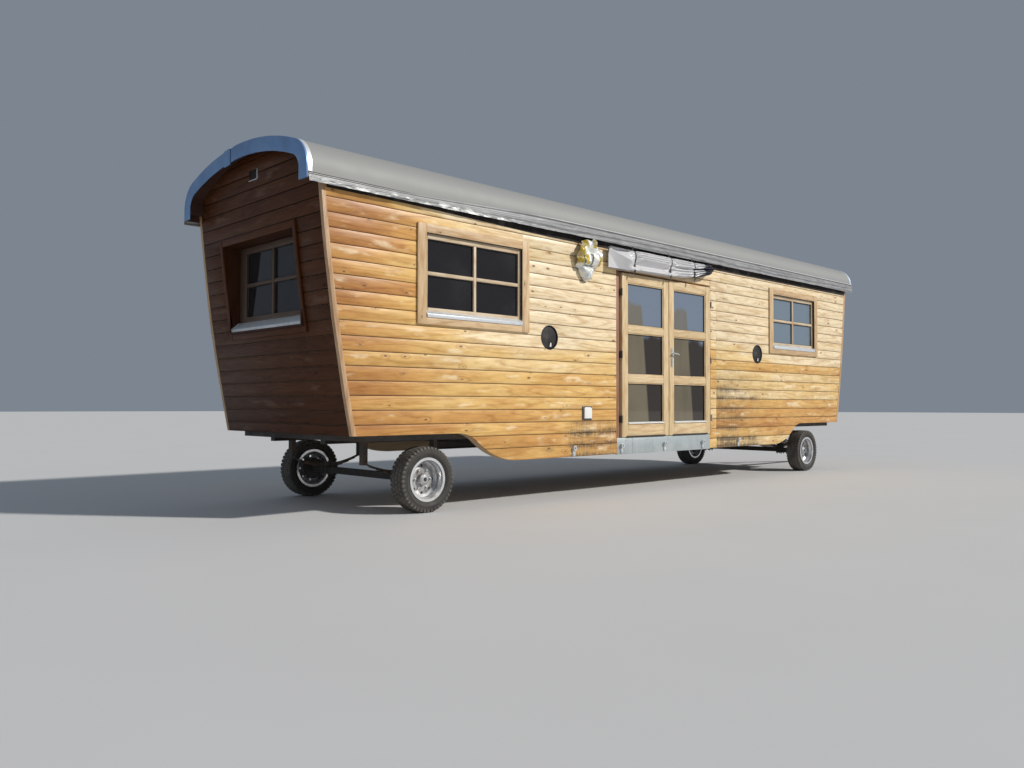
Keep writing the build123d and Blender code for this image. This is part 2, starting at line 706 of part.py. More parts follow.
with BuildPart() as door_handle:
    handle_x = (PANE_IN + LEAF_MEET) / 2
    with BuildSketch(SIDE.offset(LEAF_FACE)):
        with Locations((handle_x, HANDLE_PLATE_Z)):
            SlotOverall(HANDLE_PLATE[0], HANDLE_PLATE[1], rotation=90)
    extrude(amount=HANDLE_PLATE[2])
    with BuildSketch(SIDE.offset(LEAF_FACE)):
        with Locations((handle_x, LEVER_Z)):
            Circle(SPINDLE_RADIUS)
    extrude(amount=LEVER_REACH + LEVER[2] / 2)
    with BuildSketch(SIDE.offset(LEAF_FACE + LEVER_REACH)):
        with Locations((handle_x + (LEVER[0] - LEVER[1]) / 2, LEVER_Z)):
            SlotOverall(LEVER[0], LEVER[1])
    extrude(amount=LEVER[2])
save(door_handle, "door_handle")

# Galvanised plate under the doors, folded over the sill and under the skirt
with BuildPart() as door_sill_plate:
    plate_face = -HALF_WIDTH - SILL_PLATE_THICKNESS
    with BuildSketch(END.offset(SILL_PLATE[0])):
        with BuildLine():
            Polyline(
                (-DOOR_FRAME_FACE, DOORWAY_LOW),
                (-DOOR_FRAME_FACE, DOORWAY_LOW + SILL_PLATE_THICKNESS),
                (plate_face, DOORWAY_LOW + SILL_PLATE_THICKNESS),
                (plate_face, SKIRT_LOW - 2 * SILL_PLATE_THICKNESS),
                (SILL_PLATE_RETURN - HALF_WIDTH, SKIRT_LOW - 2 * SILL_PLATE_THICKNESS),
                (SILL_PLATE_RETURN - HALF_WIDTH, SKIRT_LOW - SILL_PLATE_THICKNESS),
                (-HALF_WIDTH, SKIRT_LOW - SILL_PLATE_THICKNESS),
                (-HALF_WIDTH, DOORWAY_LOW),
                close=True,
            )
        make_face()
    extrude(amount=SILL_PLATE[1] - SILL_PLATE[0])
save(door_sill_plate, "door_sill_plate")

# Lugs that carry a hang-in step or terrace: a flat bar with a short tube for its head
with BuildPart() as step_hooks:
    for x, face in HOOK_PLACES:
        with BuildSketch(SIDE.offset(face)):
            with Locations((x, (HOOK_LOW + HOOK_HEAD_Z) / 2)):
                Rectangle(HOOK_WIDTH, HOOK_HEAD_Z - HOOK_LOW)
        extrude(amount=HOOK_THICKNESS)
        with BuildSketch(SIDE.offset(face)):
            with Locations((x, HOOK_HEAD_Z)):
                Circle(HOOK_HEAD_RADIUS)
        extrude(amount=HOOK_HEAD_DEPTH)
        with BuildSketch(SIDE.offset(face + HOOK_THICKNESS / 2)):
            with Locations((x, HOOK_HEAD_Z)):
                Circle(HOOK_BORE_RADIUS)
        extrude(amount=HOOK_HEAD_DEPTH, mode=Mode.SUBTRACT)
save(step_hooks, "step_hooks")

# Blind round ports
with BuildPart() as round_ports:
    with BuildSketch(SIDE.offset(HALF_WIDTH - PORT_DEPTH)):
        with Locations((-PORT_X, PORT_Z), (PORT_X, PORT_Z)):
            Circle(PORT_RADIUS)
    extrude(amount=PORT_DEPTH + PORT_PROUD)
    with BuildSketch(SIDE.offset(HALF_WIDTH - PORT_DEPTH + PORT_FLOOR)):
        with Locations((-PORT_X, PORT_Z), (PORT_X, PORT_Z)):
            Circle(PORT_RADIUS - PORT_WALL)
    extrude(amount=PORT_DEPTH, mode=Mode.SUBTRACT)
save(round_ports, "round_ports")

# Power inlet with a flap lid
with BuildPart() as inlet_box:
    with BuildSketch(SIDE.offset(HALF_WIDTH)):
        with Locations(INLET):
            RectangleRounded(INLET_FLANGE[0], INLET_FLANGE[1], INLET_ROUND)
    extrude(amount=INLET_FLANGE[2])
    with BuildSketch(SIDE.offset(HALF_WIDTH + INLET_FLANGE[2])):
        with Locations(INLET):
            RectangleRounded(INLET_LID[0], INLET_LID[1], INLET_ROUND)
    extrude(amount=INLET_LID[2])
save(inlet_box, "inlet_box")

# Soft bundles on the right side: the bag tied over the wall lamp, and the rolled door awning
with BuildPart() as lamp_wrap:
    for reach, width, height in LAMP_RINGS:
        with BuildSketch(SIDE.offset(HALF_WIDTH + reach)):
            with Locations(LAMP):
                Ellipse(width / 2, height / 2)
    loft(ruled=True)
save(lamp_wrap, "lamp_wrap")

with BuildPart() as awning_roll:
    with BuildSketch(END.offset(AWNING[0])):
        with Locations(AWNING_CENTRE):
            Ellipse(*AWNING_HALF)
    extrude(amount=AWNING[1] - AWNING[0])
save(awning_roll, "awning_roll")

# Floor: a low deck between the axles and a raised one over each axle, joined by risers
riser_x = FLOOR_STEP_X - FLOOR_THICKNESS
with BuildPart() as floor_deck:
    with BuildSketch(TOP.offset(FLOOR_LOW)):
        Rectangle(2 * riser_x, 2 * CORE_IN)
    extrude(amount=FLOOR_THICKNESS)
    with BuildSketch(TOP.offset(SKIRT_HIGH)):
        with Locations((-(riser_x + FLOOR_END_X) / 2, 0), ((riser_x + FLOOR_END_X) / 2, 0)):
            Rectangle(FLOOR_END_X - riser_x, 2 * CORE_IN)
    extrude(amount=FLOOR_THICKNESS)
save(floor_deck, "floor_deck")

with BuildPart() as floor_risers:
    with BuildSketch(TOP.offset(FLOOR_LOW)):
        with Locations((-(riser_x + FLOOR_STEP_X) / 2, 0), ((riser_x + FLOOR_STEP_X) / 2, 0)):
            Rectangle(FLOOR_THICKNESS, 2 * CORE_IN)
    extrude(amount=SKIRT_HIGH - FLOOR_LOW)
save(floor_risers, "floor_risers")

# Chassis: two cranked I-beams, with cross members and edge rails welded to them
with BuildSketch() as beam_side:
    with BuildLine():
        Polyline(
            (0, BEAM_LOW),
            (CRANK_X, BEAM_LOW),
            (CRANK_X + BEAM_HIGH - BEAM_LOW, BEAM_HIGH),
            (BEAM_END_X, BEAM_HIGH),
            (BEAM_END_X, SKIRT_HIGH),
            (FLOOR_STEP_X + 2, SKIRT_HIGH),
            (FLOOR_STEP_X + 2, FLOOR_LOW),
            (0, FLOOR_LOW),
            close=True,
        )
    make_face()
    mirror(about=Plane.YZ)
with BuildPart() as chassis_beams:
    for y in (-BEAM_Y, BEAM_Y):
        with BuildSketch(SIDE.offset(y)):
            add(beam_side.sketch)
            offset(amount=-FLANGE, kind=Kind.INTERSECTION, mode=Mode.SUBTRACT)
        extrude(amount=BEAM_WIDTH / 2, both=True)
        with BuildSketch(SIDE.offset(y)):
            add(beam_side.sketch)
        extrude(amount=WEB / 2, both=True)
save(chassis_beams, "chassis_beams")

RAIL_Y = CORE_IN - RAIL_WIDTH / 2
with BuildPart() as cross_members:
    with BuildSketch(TOP.offset(FLOOR_LOW)):
        with Locations(*[(x, 0) for x in LOW_MEMBERS]):
            Rectangle(MEMBER_WIDTH, 2 * (CORE_IN - RAIL_WIDTH))
    extrude(amount=-LOW_MEMBER_DEPTH)
    with BuildSketch(TOP.offset(SKIRT_HIGH)):
        with Locations(*[(end * x, 0) for end in (-1, 1) for x in HIGH_MEMBERS]):
            Rectangle(MEMBER_WIDTH, 2 * (CORE_IN - RAIL_WIDTH))
    extrude(amount=-HIGH_MEMBER_DEPTH)
    add(chassis_beams.part, mode=Mode.SUBTRACT)
save(cross_members, "cross_members")

high_rail = (HIGH_MEMBERS[0] - MEMBER_WIDTH / 2, BEAM_END_X)
with BuildPart() as edge_rails:
    with BuildSketch(TOP.offset(FLOOR_LOW)):
        with Locations((0, -RAIL_Y), (0, RAIL_Y)):
            Rectangle(LOW_MEMBERS[-1] - LOW_MEMBERS[0] + MEMBER_WIDTH, RAIL_WIDTH)
    extrude(amount=-LOW_MEMBER_DEPTH)
    with BuildSketch(TOP.offset(SKIRT_HIGH)):
        high_rail_x = sum(high_rail) / 2
        with Locations(*[(end * high_rail_x, side * RAIL_Y) for end in (-1, 1) for side in (-1, 1)]):
            Rectangle(high_rail[1] - high_rail[0], RAIL_WIDTH)
    extrude(amount=-HIGH_MEMBER_DEPTH)
save(edge_rails, "edge_rails")

with BuildPart() as turntable_upper_ring:
    with BuildSketch(TOP.offset(BEAM_HIGH)):
        with Locations((AXLE_X, 0)):
            Circle(TURNTABLE_OUTER)
            Circle(TURNTABLE_INNER, mode=Mode.SUBTRACT)
    extrude(amount=-TURNTABLE_PLATE)
    with BuildSketch(TOP.offset(BEAM_HIGH)):
        with Locations((AXLE_X - PAD_X, 0), (AXLE_X + PAD_X, 0)):
            Rectangle(PAD[0], PAD[1])
    extrude(amount=PAD[2])
save(turntable_upper_ring, "turntable_upper_ring")

# Bogie frame under the turntable: ring, two cross members, two long members and drawbar lugs
with BuildPart() as bogie_frame:
    with BuildSketch(TOP.offset(BOGIE_TOP)):
        with Locations((AXLE_X, 0)):
            Circle(TURNTABLE_OUTER)
            Circle(TURNTABLE_INNER, mode=Mode.SUBTRACT)
    extrude(amount=-BOGIE_PLATE)
    with BuildSketch(TOP.offset(BOGIE_TOP - BOGIE_PLATE)):
        with Locations((AXLE_X - BOGIE_MEMBER_X, 0), (AXLE_X + BOGIE_MEMBER_X, 0)):
            Rectangle(BOGIE_MEMBER, 2 * SPRING_Y + BOGIE_RAIL)
        with Locations((AXLE_X, -SPRING_Y), (AXLE_X, SPRING_Y)):
            Rectangle(2 * SPRING_HALF + BOGIE_RAIL, BOGIE_RAIL)
        with Locations((HITCH_X - BOGIE_MEMBER / 2, 0)):
            Rectangle(BOGIE_MEMBER, 2 * SPRING_Y)
    extrude(amount=-BOGIE_MEMBER)
    for y in (-LUG_Y, LUG_Y):
        with BuildSketch(SIDE.offset(y)):
            with BuildLine():
                Polyline(*[(HITCH_X + ahead, HITCH_Z + up) for ahead, up in LUG_SIDE], close=True)
            make_face()
        extrude(amount=LUG_HALF, both=True)
        with BuildSketch(SIDE.offset(y)):
            with Locations((HITCH_X, HITCH_Z - LUG_SLOT_DROP)):
                Rectangle(*LUG_SLOT)
        extrude(amount=LUG_SLOT_HALF, both=True, mode=Mode.SUBTRACT)
        with BuildSketch(SIDE.offset(y)):
            with Locations((HITCH_X, HITCH_Z)):
                Circle(PIN_RADIUS)
        extrude(amount=PIN_HALF, both=True)
save(bogie_frame, "bogie_frame")

# Axles: a square beam, stub ends and brake backing plates
for name, end in (("rear_axle", -1), ("front_axle", 1)):
    with BuildPart() as axle:
        with BuildSketch(SIDE):
            with Locations((end * AXLE_X, AXLE_Z)):
                Rectangle(AXLE_BEAM, AXLE_BEAM)
        extrude(amount=AXLE_BEAM_END, both=True)
        with BuildSketch(SIDE):
            with Locations((end * AXLE_X, AXLE_Z)):
                Circle(STUB_RADIUS)
        extrude(amount=STUB_END, both=True)
        for side in (-1, 1):
            with BuildSketch(side_slab(side, *BACK_PLATE)):
                with Locations((end * AXLE_X, AXLE_Z)):
                    Circle(BACK_PLATE_RADIUS)
            extrude(amount=BACK_PLATE[0] - BACK_PLATE[1])
    save(axle, name)

# Leaf springs: a stack of bowed leaves on each end of an axle, hung between two hangers
rear_hanger_top = SKIRT_HIGH - HIGH_MEMBER_DEPTH
front_hanger_top = BOGIE_TOP - BOGIE_PLATE - BOGIE_MEMBER
for name, end, hanger_top in (("rear_springs", -1, rear_hanger_top), ("front_springs", 1, front_hanger_top)):
    middle = end * AXLE_X
    with BuildPart() as springs:
        for y in (-SPRING_Y, SPRING_Y):
            with BuildSketch(SIDE.offset(y)):
                for leaf_row, share in enumerate(SPRING_SHARES):
                    back = middle - share * SPRING_HALF
                    ahead = middle + share * SPRING_HALF
                    low = SPRING_SEAT + (len(SPRING_SHARES) - 1 - leaf_row) * LEAF_THICKNESS
                    high = low + LEAF_THICKNESS
                    rise = SPRING_LIFT * share**2
                    with BuildLine():
                        lower = ThreePointArc((back, low + rise), (middle, low), (ahead, low + rise))
                        upper = ThreePointArc((back, high + rise), (middle, high), (ahead, high + rise))
                        Line(lower @ 0, upper @ 0)
                        Line(lower @ 1, upper @ 1)
                    make_face()
                with Locations((middle, SPRING_SEAT + SPRING_CLAMP[1] / 2)):
                    Rectangle(*SPRING_CLAMP)
            extrude(amount=SPRING_WIDTH / 2, both=True)
            with BuildSketch(SIDE.offset(y)):
                eye_z = SPRING_SEAT + (len(SPRING_SHARES) - 0.5) * LEAF_THICKNESS + SPRING_LIFT
                hanger_low = eye_z - HANGER_LAP
                hanger_z = (hanger_top + hanger_low) / 2
                with Locations((middle - SPRING_HALF, hanger_z), (middle + SPRING_HALF, hanger_z)):
                    Rectangle(HANGER[0], hanger_top - hanger_low)
            extrude(amount=HANGER[1] / 2, both=True)
    save(springs, name)

# Drawbar: two box legs that meet in a nose, made on the slope it rests at
BAR = Plane(
    origin=(MID + HITCH_X, 0, HITCH_Z),
    x_dir=(cos(BAR_ANGLE), 0, -sin(BAR_ANGLE)),
    z_dir=(sin(BAR_ANGLE), 0, cos(BAR_ANGLE)),
)
with BuildPart() as drawbar:
    with BuildSketch(BAR.offset(-BAR_THICKNESS / 2)):
        with BuildLine():
            Polyline(*BAR_OUTLINE, close=True)
        make_face()
    extrude(amount=BAR_THICKNESS)
    with BuildSketch(BAR.offset(-BAR_BRACE[2] / 2)):
        with Locations((BAR_BRACE_X, 0)):
            Rectangle(BAR_BRACE[0], BAR_BRACE[1])
    extrude(amount=BAR_BRACE[2])
    for y in (-LUG_Y, LUG_Y):
        with BuildSketch(SIDE.offset(y)):
            with Locations((HITCH_X, HITCH_Z)):
                Circle(KNUCKLE_RADIUS)
        extrude(amount=KNUCKLE_HALF, both=True)
        with BuildSketch(SIDE.offset(y)):
            with Locations((HITCH_X, HITCH_Z)):
                Circle(PIN_BORE)
        extrude(amount=PIN_HALF, both=True, mode=Mode.SUBTRACT)
save(drawbar, "drawbar")

with BuildPart() as towing_eye:
    with BuildSketch(BAR.offset(-EYE_HALF)):
        with Locations((BAR_LENGTH, 0)):
            Circle(EYE_OUTER)
        with Locations((BAR_LENGTH - EYE_SHANK_BACK, 0)):
            Rectangle(*EYE_SHANK)
        with Locations((BAR_LENGTH, 0)):
            Circle(EYE_RADIUS, mode=Mode.SUBTRACT)
    extrude(amount=2 * EYE_HALF)
    with BuildSketch(BAR.offset(-NOSE_PLATE[2] / 2)):
        with Locations((NOSE_X + NOSE_PLATE[0] / 2, 0)):
            Rectangle(NOSE_PLATE[0], NOSE_PLATE[1])
    extrude(amount=NOSE_PLATE[2])
save(towing_eye, "towing_eye")

# Wheels: a tyre and a deep-dished rim with its hub, each turned about its axle
for name, end, side in (
    ("rear_right", -1, -1),
    ("rear_left", -1, 1),
    ("front_right", 1, -1),
    ("front_left", 1, 1),
):
    centre = (MID + end * AXLE_X, side * WHEEL_Y, AXLE_Z)
    spin = Axis(centre, (0, side, 0))
    radial = Plane(origin=centre, x_dir=(0, side, 0), z_dir=(side, 0, 0))
    with BuildPart() as tyre:
        with BuildSketch(radial):
            with BuildLine():
                Polyline(*TYRE_HALF, close=True)
            make_face()
            mirror(about=Plane.YZ)
        revolve(axis=spin)
    save(tyre, f"{name}_tyre")
    with BuildPart() as rim:
        with BuildSketch(radial):
            for outline in (BARREL, DISC, HUB):
                with BuildLine():
                    Polyline(*outline, close=True)
                make_face()
        revolve(axis=spin)
        with BuildSketch(Plane(origin=centre, x_dir=(1, 0, 0), z_dir=(0, side, 0))):
            with PolarLocations(VENT_RING, VENT_COUNT):
                Circle(VENT_RADIUS)
        extrude(amount=TYRE_HALF_WIDTH, both=True, mode=Mode.SUBTRACT)
    save(rim, f"{name}_rim")
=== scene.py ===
from math import asin, atan2, cos, exp, hypot, pi, radians, sin, sqrt, tau
from random import Random

import bmesh
import bpy
from mathutils import Matrix, Vector, noise


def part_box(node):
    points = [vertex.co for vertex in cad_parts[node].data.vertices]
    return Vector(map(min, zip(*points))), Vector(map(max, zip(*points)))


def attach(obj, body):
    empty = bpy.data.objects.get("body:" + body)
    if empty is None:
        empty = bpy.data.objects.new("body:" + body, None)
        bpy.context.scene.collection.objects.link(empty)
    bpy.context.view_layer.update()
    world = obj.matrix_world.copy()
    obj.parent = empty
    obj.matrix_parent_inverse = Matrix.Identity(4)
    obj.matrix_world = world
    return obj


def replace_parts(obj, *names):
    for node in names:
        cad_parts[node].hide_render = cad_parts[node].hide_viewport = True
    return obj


# The looks of a timber living wagon: boards, joinery, sheet metal, cloth, wheels and fittings.
# Metres, +X to the front, +Z up; the doors are on the right side, -Y.

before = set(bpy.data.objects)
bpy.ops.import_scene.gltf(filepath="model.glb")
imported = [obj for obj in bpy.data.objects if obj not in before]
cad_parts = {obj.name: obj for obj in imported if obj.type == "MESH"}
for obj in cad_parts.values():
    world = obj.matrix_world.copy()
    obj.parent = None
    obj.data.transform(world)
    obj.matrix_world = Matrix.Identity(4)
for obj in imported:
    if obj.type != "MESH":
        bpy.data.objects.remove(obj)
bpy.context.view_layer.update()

# Places that the pieces share, from the frame
FLOOR_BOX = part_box("floor_deck")
MIDDLE = (FLOOR_BOX[0].x + FLOOR_BOX[1].x) / 2
RIGHT = Matrix.Translation((MIDDLE, 0, 0))
LEFT = RIGHT @ Matrix.Rotation(pi, 4, "Z")
FRONT = RIGHT @ Matrix.Rotation(pi / 2, 4, "Z")
REAR = RIGHT @ Matrix.Rotation(-pi / 2, 4, "Z")

# Body
BOARD_FACE = 1.25
LEAN_RADIUS, LEAN_CENTRE_Z, END_FOOT_X, END_FOOT_Z = 19.0, 4.78, 4.93, 0.79
PLANK_LENGTH = 4.6
JOINT_GAP = 0.0014
EASE = 0.003

# Windows: middle along the side, casing and opening
WINDOW_X = 3.41
CASING, CASING_Z = Vector((1.56, 1.005)), 2.386
LIGHT, LIGHT_Z = Vector((1.34, 0.83)), 2.385
GLAZED, GLAZED_Z = Vector((1.27, 0.69)), 2.4
CASING_THICKNESS = 0.022
REBATE = 0.01
FRAME_FACE, FRAME_DEPTH = 1.24, 0.068
END_CASING, END_CASING_Z = Vector((1.555, 1.055)), 2.299
END_LIGHT, END_LIGHT_Z = Vector((1.45, 0.905)), 2.303
END_SASH, END_GLAZED, END_GLAZED_Z = Vector((1.33, 0.803)), Vector((1.11, 0.672)), 2.346
END_FRAME_FACE, SASH_PROUD = 5.07, 0.012
REVEAL = 0.02
BAR_WIDTH = 0.038
SILL_LIP, SILL_DROP, SILL_NOSE, SILL_FALL = 0.008, 0.015, 0.02, 0.052
END_SILL_NOSE, END_SILL_FALL = 0.03, 0.104

# Doors
LEAF_FACE = 1.265
LEAF_DEPTH = 0.068
LEAF_MEET, LEAF_OUT = 0.006, 0.984
LEAF_LOW, LEAF_HIGH = 0.68, 2.735
PANE_IN, PANE_OUT = 0.115, 0.87
PANE_ROWS = ((0.85, 1.365), (1.46, 1.99), (2.08, 2.62))
BEADING = 0.014
HINGE_X, HINGE_Y, HINGE_HEIGHTS, KNUCKLE = 1.0, -1.275, (0.905, 1.71, 2.49), 0.03
HANDLE_X, LEVER_Z, LEVER_REACH, LOCK_Z = 0.0605, 1.765, 0.122, 1.66

# Door frame: half widths from the middle, depths from the outside in, heights from the foot up
CLEAR_X, FRONT_STOP_X, REAR_STOP_X, FRAME_X = 0.97, 1.011, 1.021, 1.085
RAISED_Y, PLAIN_Y, STOP_Y, FRAME_BACK_Y = -1.245, -1.228, -1.19, -1.14
FRAME_FOOT_Z, THRESHOLD_Z, CLEAR_TOP_Z, STOP_TOP_Z, FRAME_TOP_Z = 0.674, 0.74, 2.72, 2.764, 2.83
FRAME_JOINT = 0.001

# Wheels
AXLE_X, AXLE_Z = 3.98, 0.332
SPRING_Y, SPRING_HALF, U_BOLT_X, U_BOLT_Y = 0.7, 0.45, 0.041, 0.037

# Roof
ROOF_HALF_LENGTH = 5.43
RIDGE_Z, ROOF_HALF_WIDTH, ARCH_RADIUS, SHOULDER_RADIUS = 3.67, 1.29, 3.2757, 0.305
EAVE_Z = 3.1
SHEET, CAP_HALF, SHADE_STRIP_HALF = 0.003, 0.02, 5.22
LAP_Y, COVER_WIDTH, COVER_PROUD = 0.2, 0.13, 0.004


def end_x(z):
    """How far an end wall's face stands from the middle at height z."""
    foot = sqrt(LEAN_RADIUS**2 - (LEAN_CENTRE_Z - END_FOOT_Z) ** 2)
    return END_FOOT_X + sqrt(LEAN_RADIUS**2 - (LEAN_CENTRE_Z - z) ** 2) - foot


# Mesh building

def smooth_step(value, low, high):
    t = min(max((value - low) / (high - low), 0.0), 1.0)
    return t * t * (3 - 2 * t)


def near(value, middle, width):
    """A bell that is 1 at the middle and gone three widths away."""
    return exp(-((value - middle) / width) ** 2)


def cube_between(low, high):
    """A block between two corners, as a bmesh."""
    bm = bmesh.new()
    low, high = Vector(low), Vector(high)
    place = Matrix.LocRotScale((low + high) / 2, None, high - low)
    bmesh.ops.create_cube(bm, size=1, matrix=place)
    return bm


def ease(bm, width=EASE, segments=2, over=30):
    """Round every edge that turns by more than some degrees."""
    sharp = [e for e in bm.edges if len(e.link_faces) == 2 and e.calc_face_angle() > radians(over)]
    bmesh.ops.bevel(bm, geom=sharp, offset=width, offset_type="OFFSET", segments=segments, profile=0.5,
                    affect="EDGES", material=-1, clamp_overlap=True)
    return bm


def block(low, high, width=EASE, segments=2):
    """A block with eased edges."""
    return ease(cube_between(low, high), width, segments)


def rod(start, end, radius, sides=16, end_radius=None, rounded=0.0):
    """A round bar between two points, its rims eased if rounded."""
    bm = bmesh.new()
    start, end = Vector(start), Vector(end)
    turn = (end - start).to_track_quat("Z", "Y").to_matrix().to_4x4()
    bmesh.ops.create_cone(bm, cap_ends=True, segments=sides, radius1=radius, radius2=end_radius or radius,
                          depth=(end - start).length, matrix=Matrix.Translation((start + end) / 2) @ turn)
    return ease(bm, rounded, 2, 50) if rounded else bm


def everything(bm):
    return bm.verts[:] + bm.edges[:] + bm.faces[:]


def face_outwards(bm):
    bmesh.ops.recalc_face_normals(bm, faces=bm.faces[:])


def ripple(*place):
    return noise.noise(Vector(place))


def shaped_grid(columns, rows, shape, closed=False):
    """A grid whose points are placed by a function of two numbers that run from -1 to 1."""
    bm = bmesh.new()
    bmesh.ops.create_grid(bm, x_segments=columns, y_segments=rows, size=1)
    for vert in bm.verts:
        vert.co = shape(vert.co.x, vert.co.y)
    if closed:
        bmesh.ops.remove_doubles(bm, verts=bm.verts[:], dist=0.0001)
    face_outwards(bm)
    return bm


def sliced(bm, axis, count):
    """Cut a bmesh into slices along an axis, so that it can be bent."""
    spread = [v.co[axis] for v in bm.verts]
    normal = Vector([float(i == axis) for i in range(3)])
    for step in range(1, count):
        place = normal * (min(spread) + (max(spread) - min(spread)) * step / count)
        bmesh.ops.bisect_plane(bm, geom=everything(bm), plane_co=place, plane_no=normal)
    return bm


def put(into, part, place=None, bend=None):
    """Add a part to a bmesh, bent by a function of a point and then moved to its place."""
    if bend:
        for vert in part.verts:
            vert.co = bend(vert.co)
    if place:
        bmesh.ops.transform(part, matrix=place, verts=part.verts)
    carrier = bpy.data.meshes.new("carrier")
    part.to_mesh(carrier)
    part.free()
    into.from_mesh(carrier)
    bpy.data.meshes.remove(carrier)


def add_block(bm, low, high, width=EASE, segments=2, place=RIGHT):
    put(bm, block(low, high, width, segments), place)


def add_rod(bm, start, end, radius, sides=16, end_radius=None, rounded=0.0, place=RIGHT):
    put(bm, rod(start, end, radius, sides, end_radius, rounded), place)


def thicken(bm, thickness):
    """Give a sheet its thickness evenly along its normals, which stays tidy in sharp folds."""
    bm.normal_update()
    made = bmesh.ops.extrude_face_region(bm, geom=bm.faces[:], use_keep_orig=True)["geom"]
    for vert in [g for g in made if isinstance(g, bmesh.types.BMVert)]:
        vert.co -= vert.normal * thickness
    face_outwards(bm)


def welded(node):
    """A copy of a CAD node's mesh with its corners merged and its flat faces whole."""
    bm = bmesh.new()
    bm.from_mesh(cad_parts[node].data)
    bmesh.ops.remove_doubles(bm, verts=bm.verts[:], dist=0.0001)
    bmesh.ops.dissolve_limit(bm, angle_limit=radians(1.5), verts=bm.verts[:], edges=bm.edges[:])
    return bm


def islands(bm):
    """Groups of vertices that edges join, in the order of their first vertex."""
    bm.verts.index_update()
    seen = [False] * len(bm.verts)
    groups = []
    for start in bm.verts:
        if seen[start.index]:
            continue
        seen[start.index] = True
        group, waiting = [], [start]
        while waiting:
            vert = waiting.pop()
            group.append(vert)
            for edge in vert.link_edges:
                other = edge.other_vert(vert)
                if not seen[other.index]:
                    seen[other.index] = True
                    waiting.append(other)
        groups.append(group)
    return groups


def dress_planks(bm):
    """Give each plank its own grain, tone and place across, which the wood materials read."""
    grain = bm.verts.layers.float_vector.new("grain")
    tone = bm.verts.layers.float.new("tone")
    across = bm.verts.layers.float.new("across")
    for group in islands(bm):
        low = Vector([min(v.co[i] for v in group) for i in range(3)])
        high = Vector([max(v.co[i] for v in group) for i in range(3)])
        along, wide, thick = sorted(range(3), key=lambda i: low[i] - high[i])
        draw = Random(str([round(c, 2) for c in (low + high) / 2]))
        shift = Vector([draw.uniform(-40, 40) for _ in range(3)])
        own_tone = draw.random()
        for vert in group:
            vert[grain] = Vector((vert.co[along], vert.co[wide], vert.co[thick])) + shift
            vert[tone] = own_tone
            vert[across] = 2 * (vert.co[wide] - low[wide]) / max(high[wide] - low[wide], 1e-6) - 1


def piece(bm, name, finish, stands_for=(), body="wagon_body", smooth=32, planks=False):
    """Turn a bmesh into a finished piece that rides on a body and may stand for CAD nodes."""
    if planks:
        dress_planks(bm)
    mesh = bpy.data.meshes.new(name)
    bm.to_mesh(mesh)
    bm.free()
    old_normals = mesh.attributes.get("custom_normal")
    if old_normals:
        mesh.attributes.remove(old_normals)
    mesh.polygons.foreach_set("use_smooth", [True] * len(mesh.polygons))
    mesh.set_sharp_from_angle(angle=radians(smooth))
    mesh.materials.append(finish)
    made = bpy.data.objects.new(name, mesh)
    bpy.context.scene.collection.objects.link(made)
    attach(made, body)
    if stands_for:
        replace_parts(made, *stands_for)
    return made


# Material building

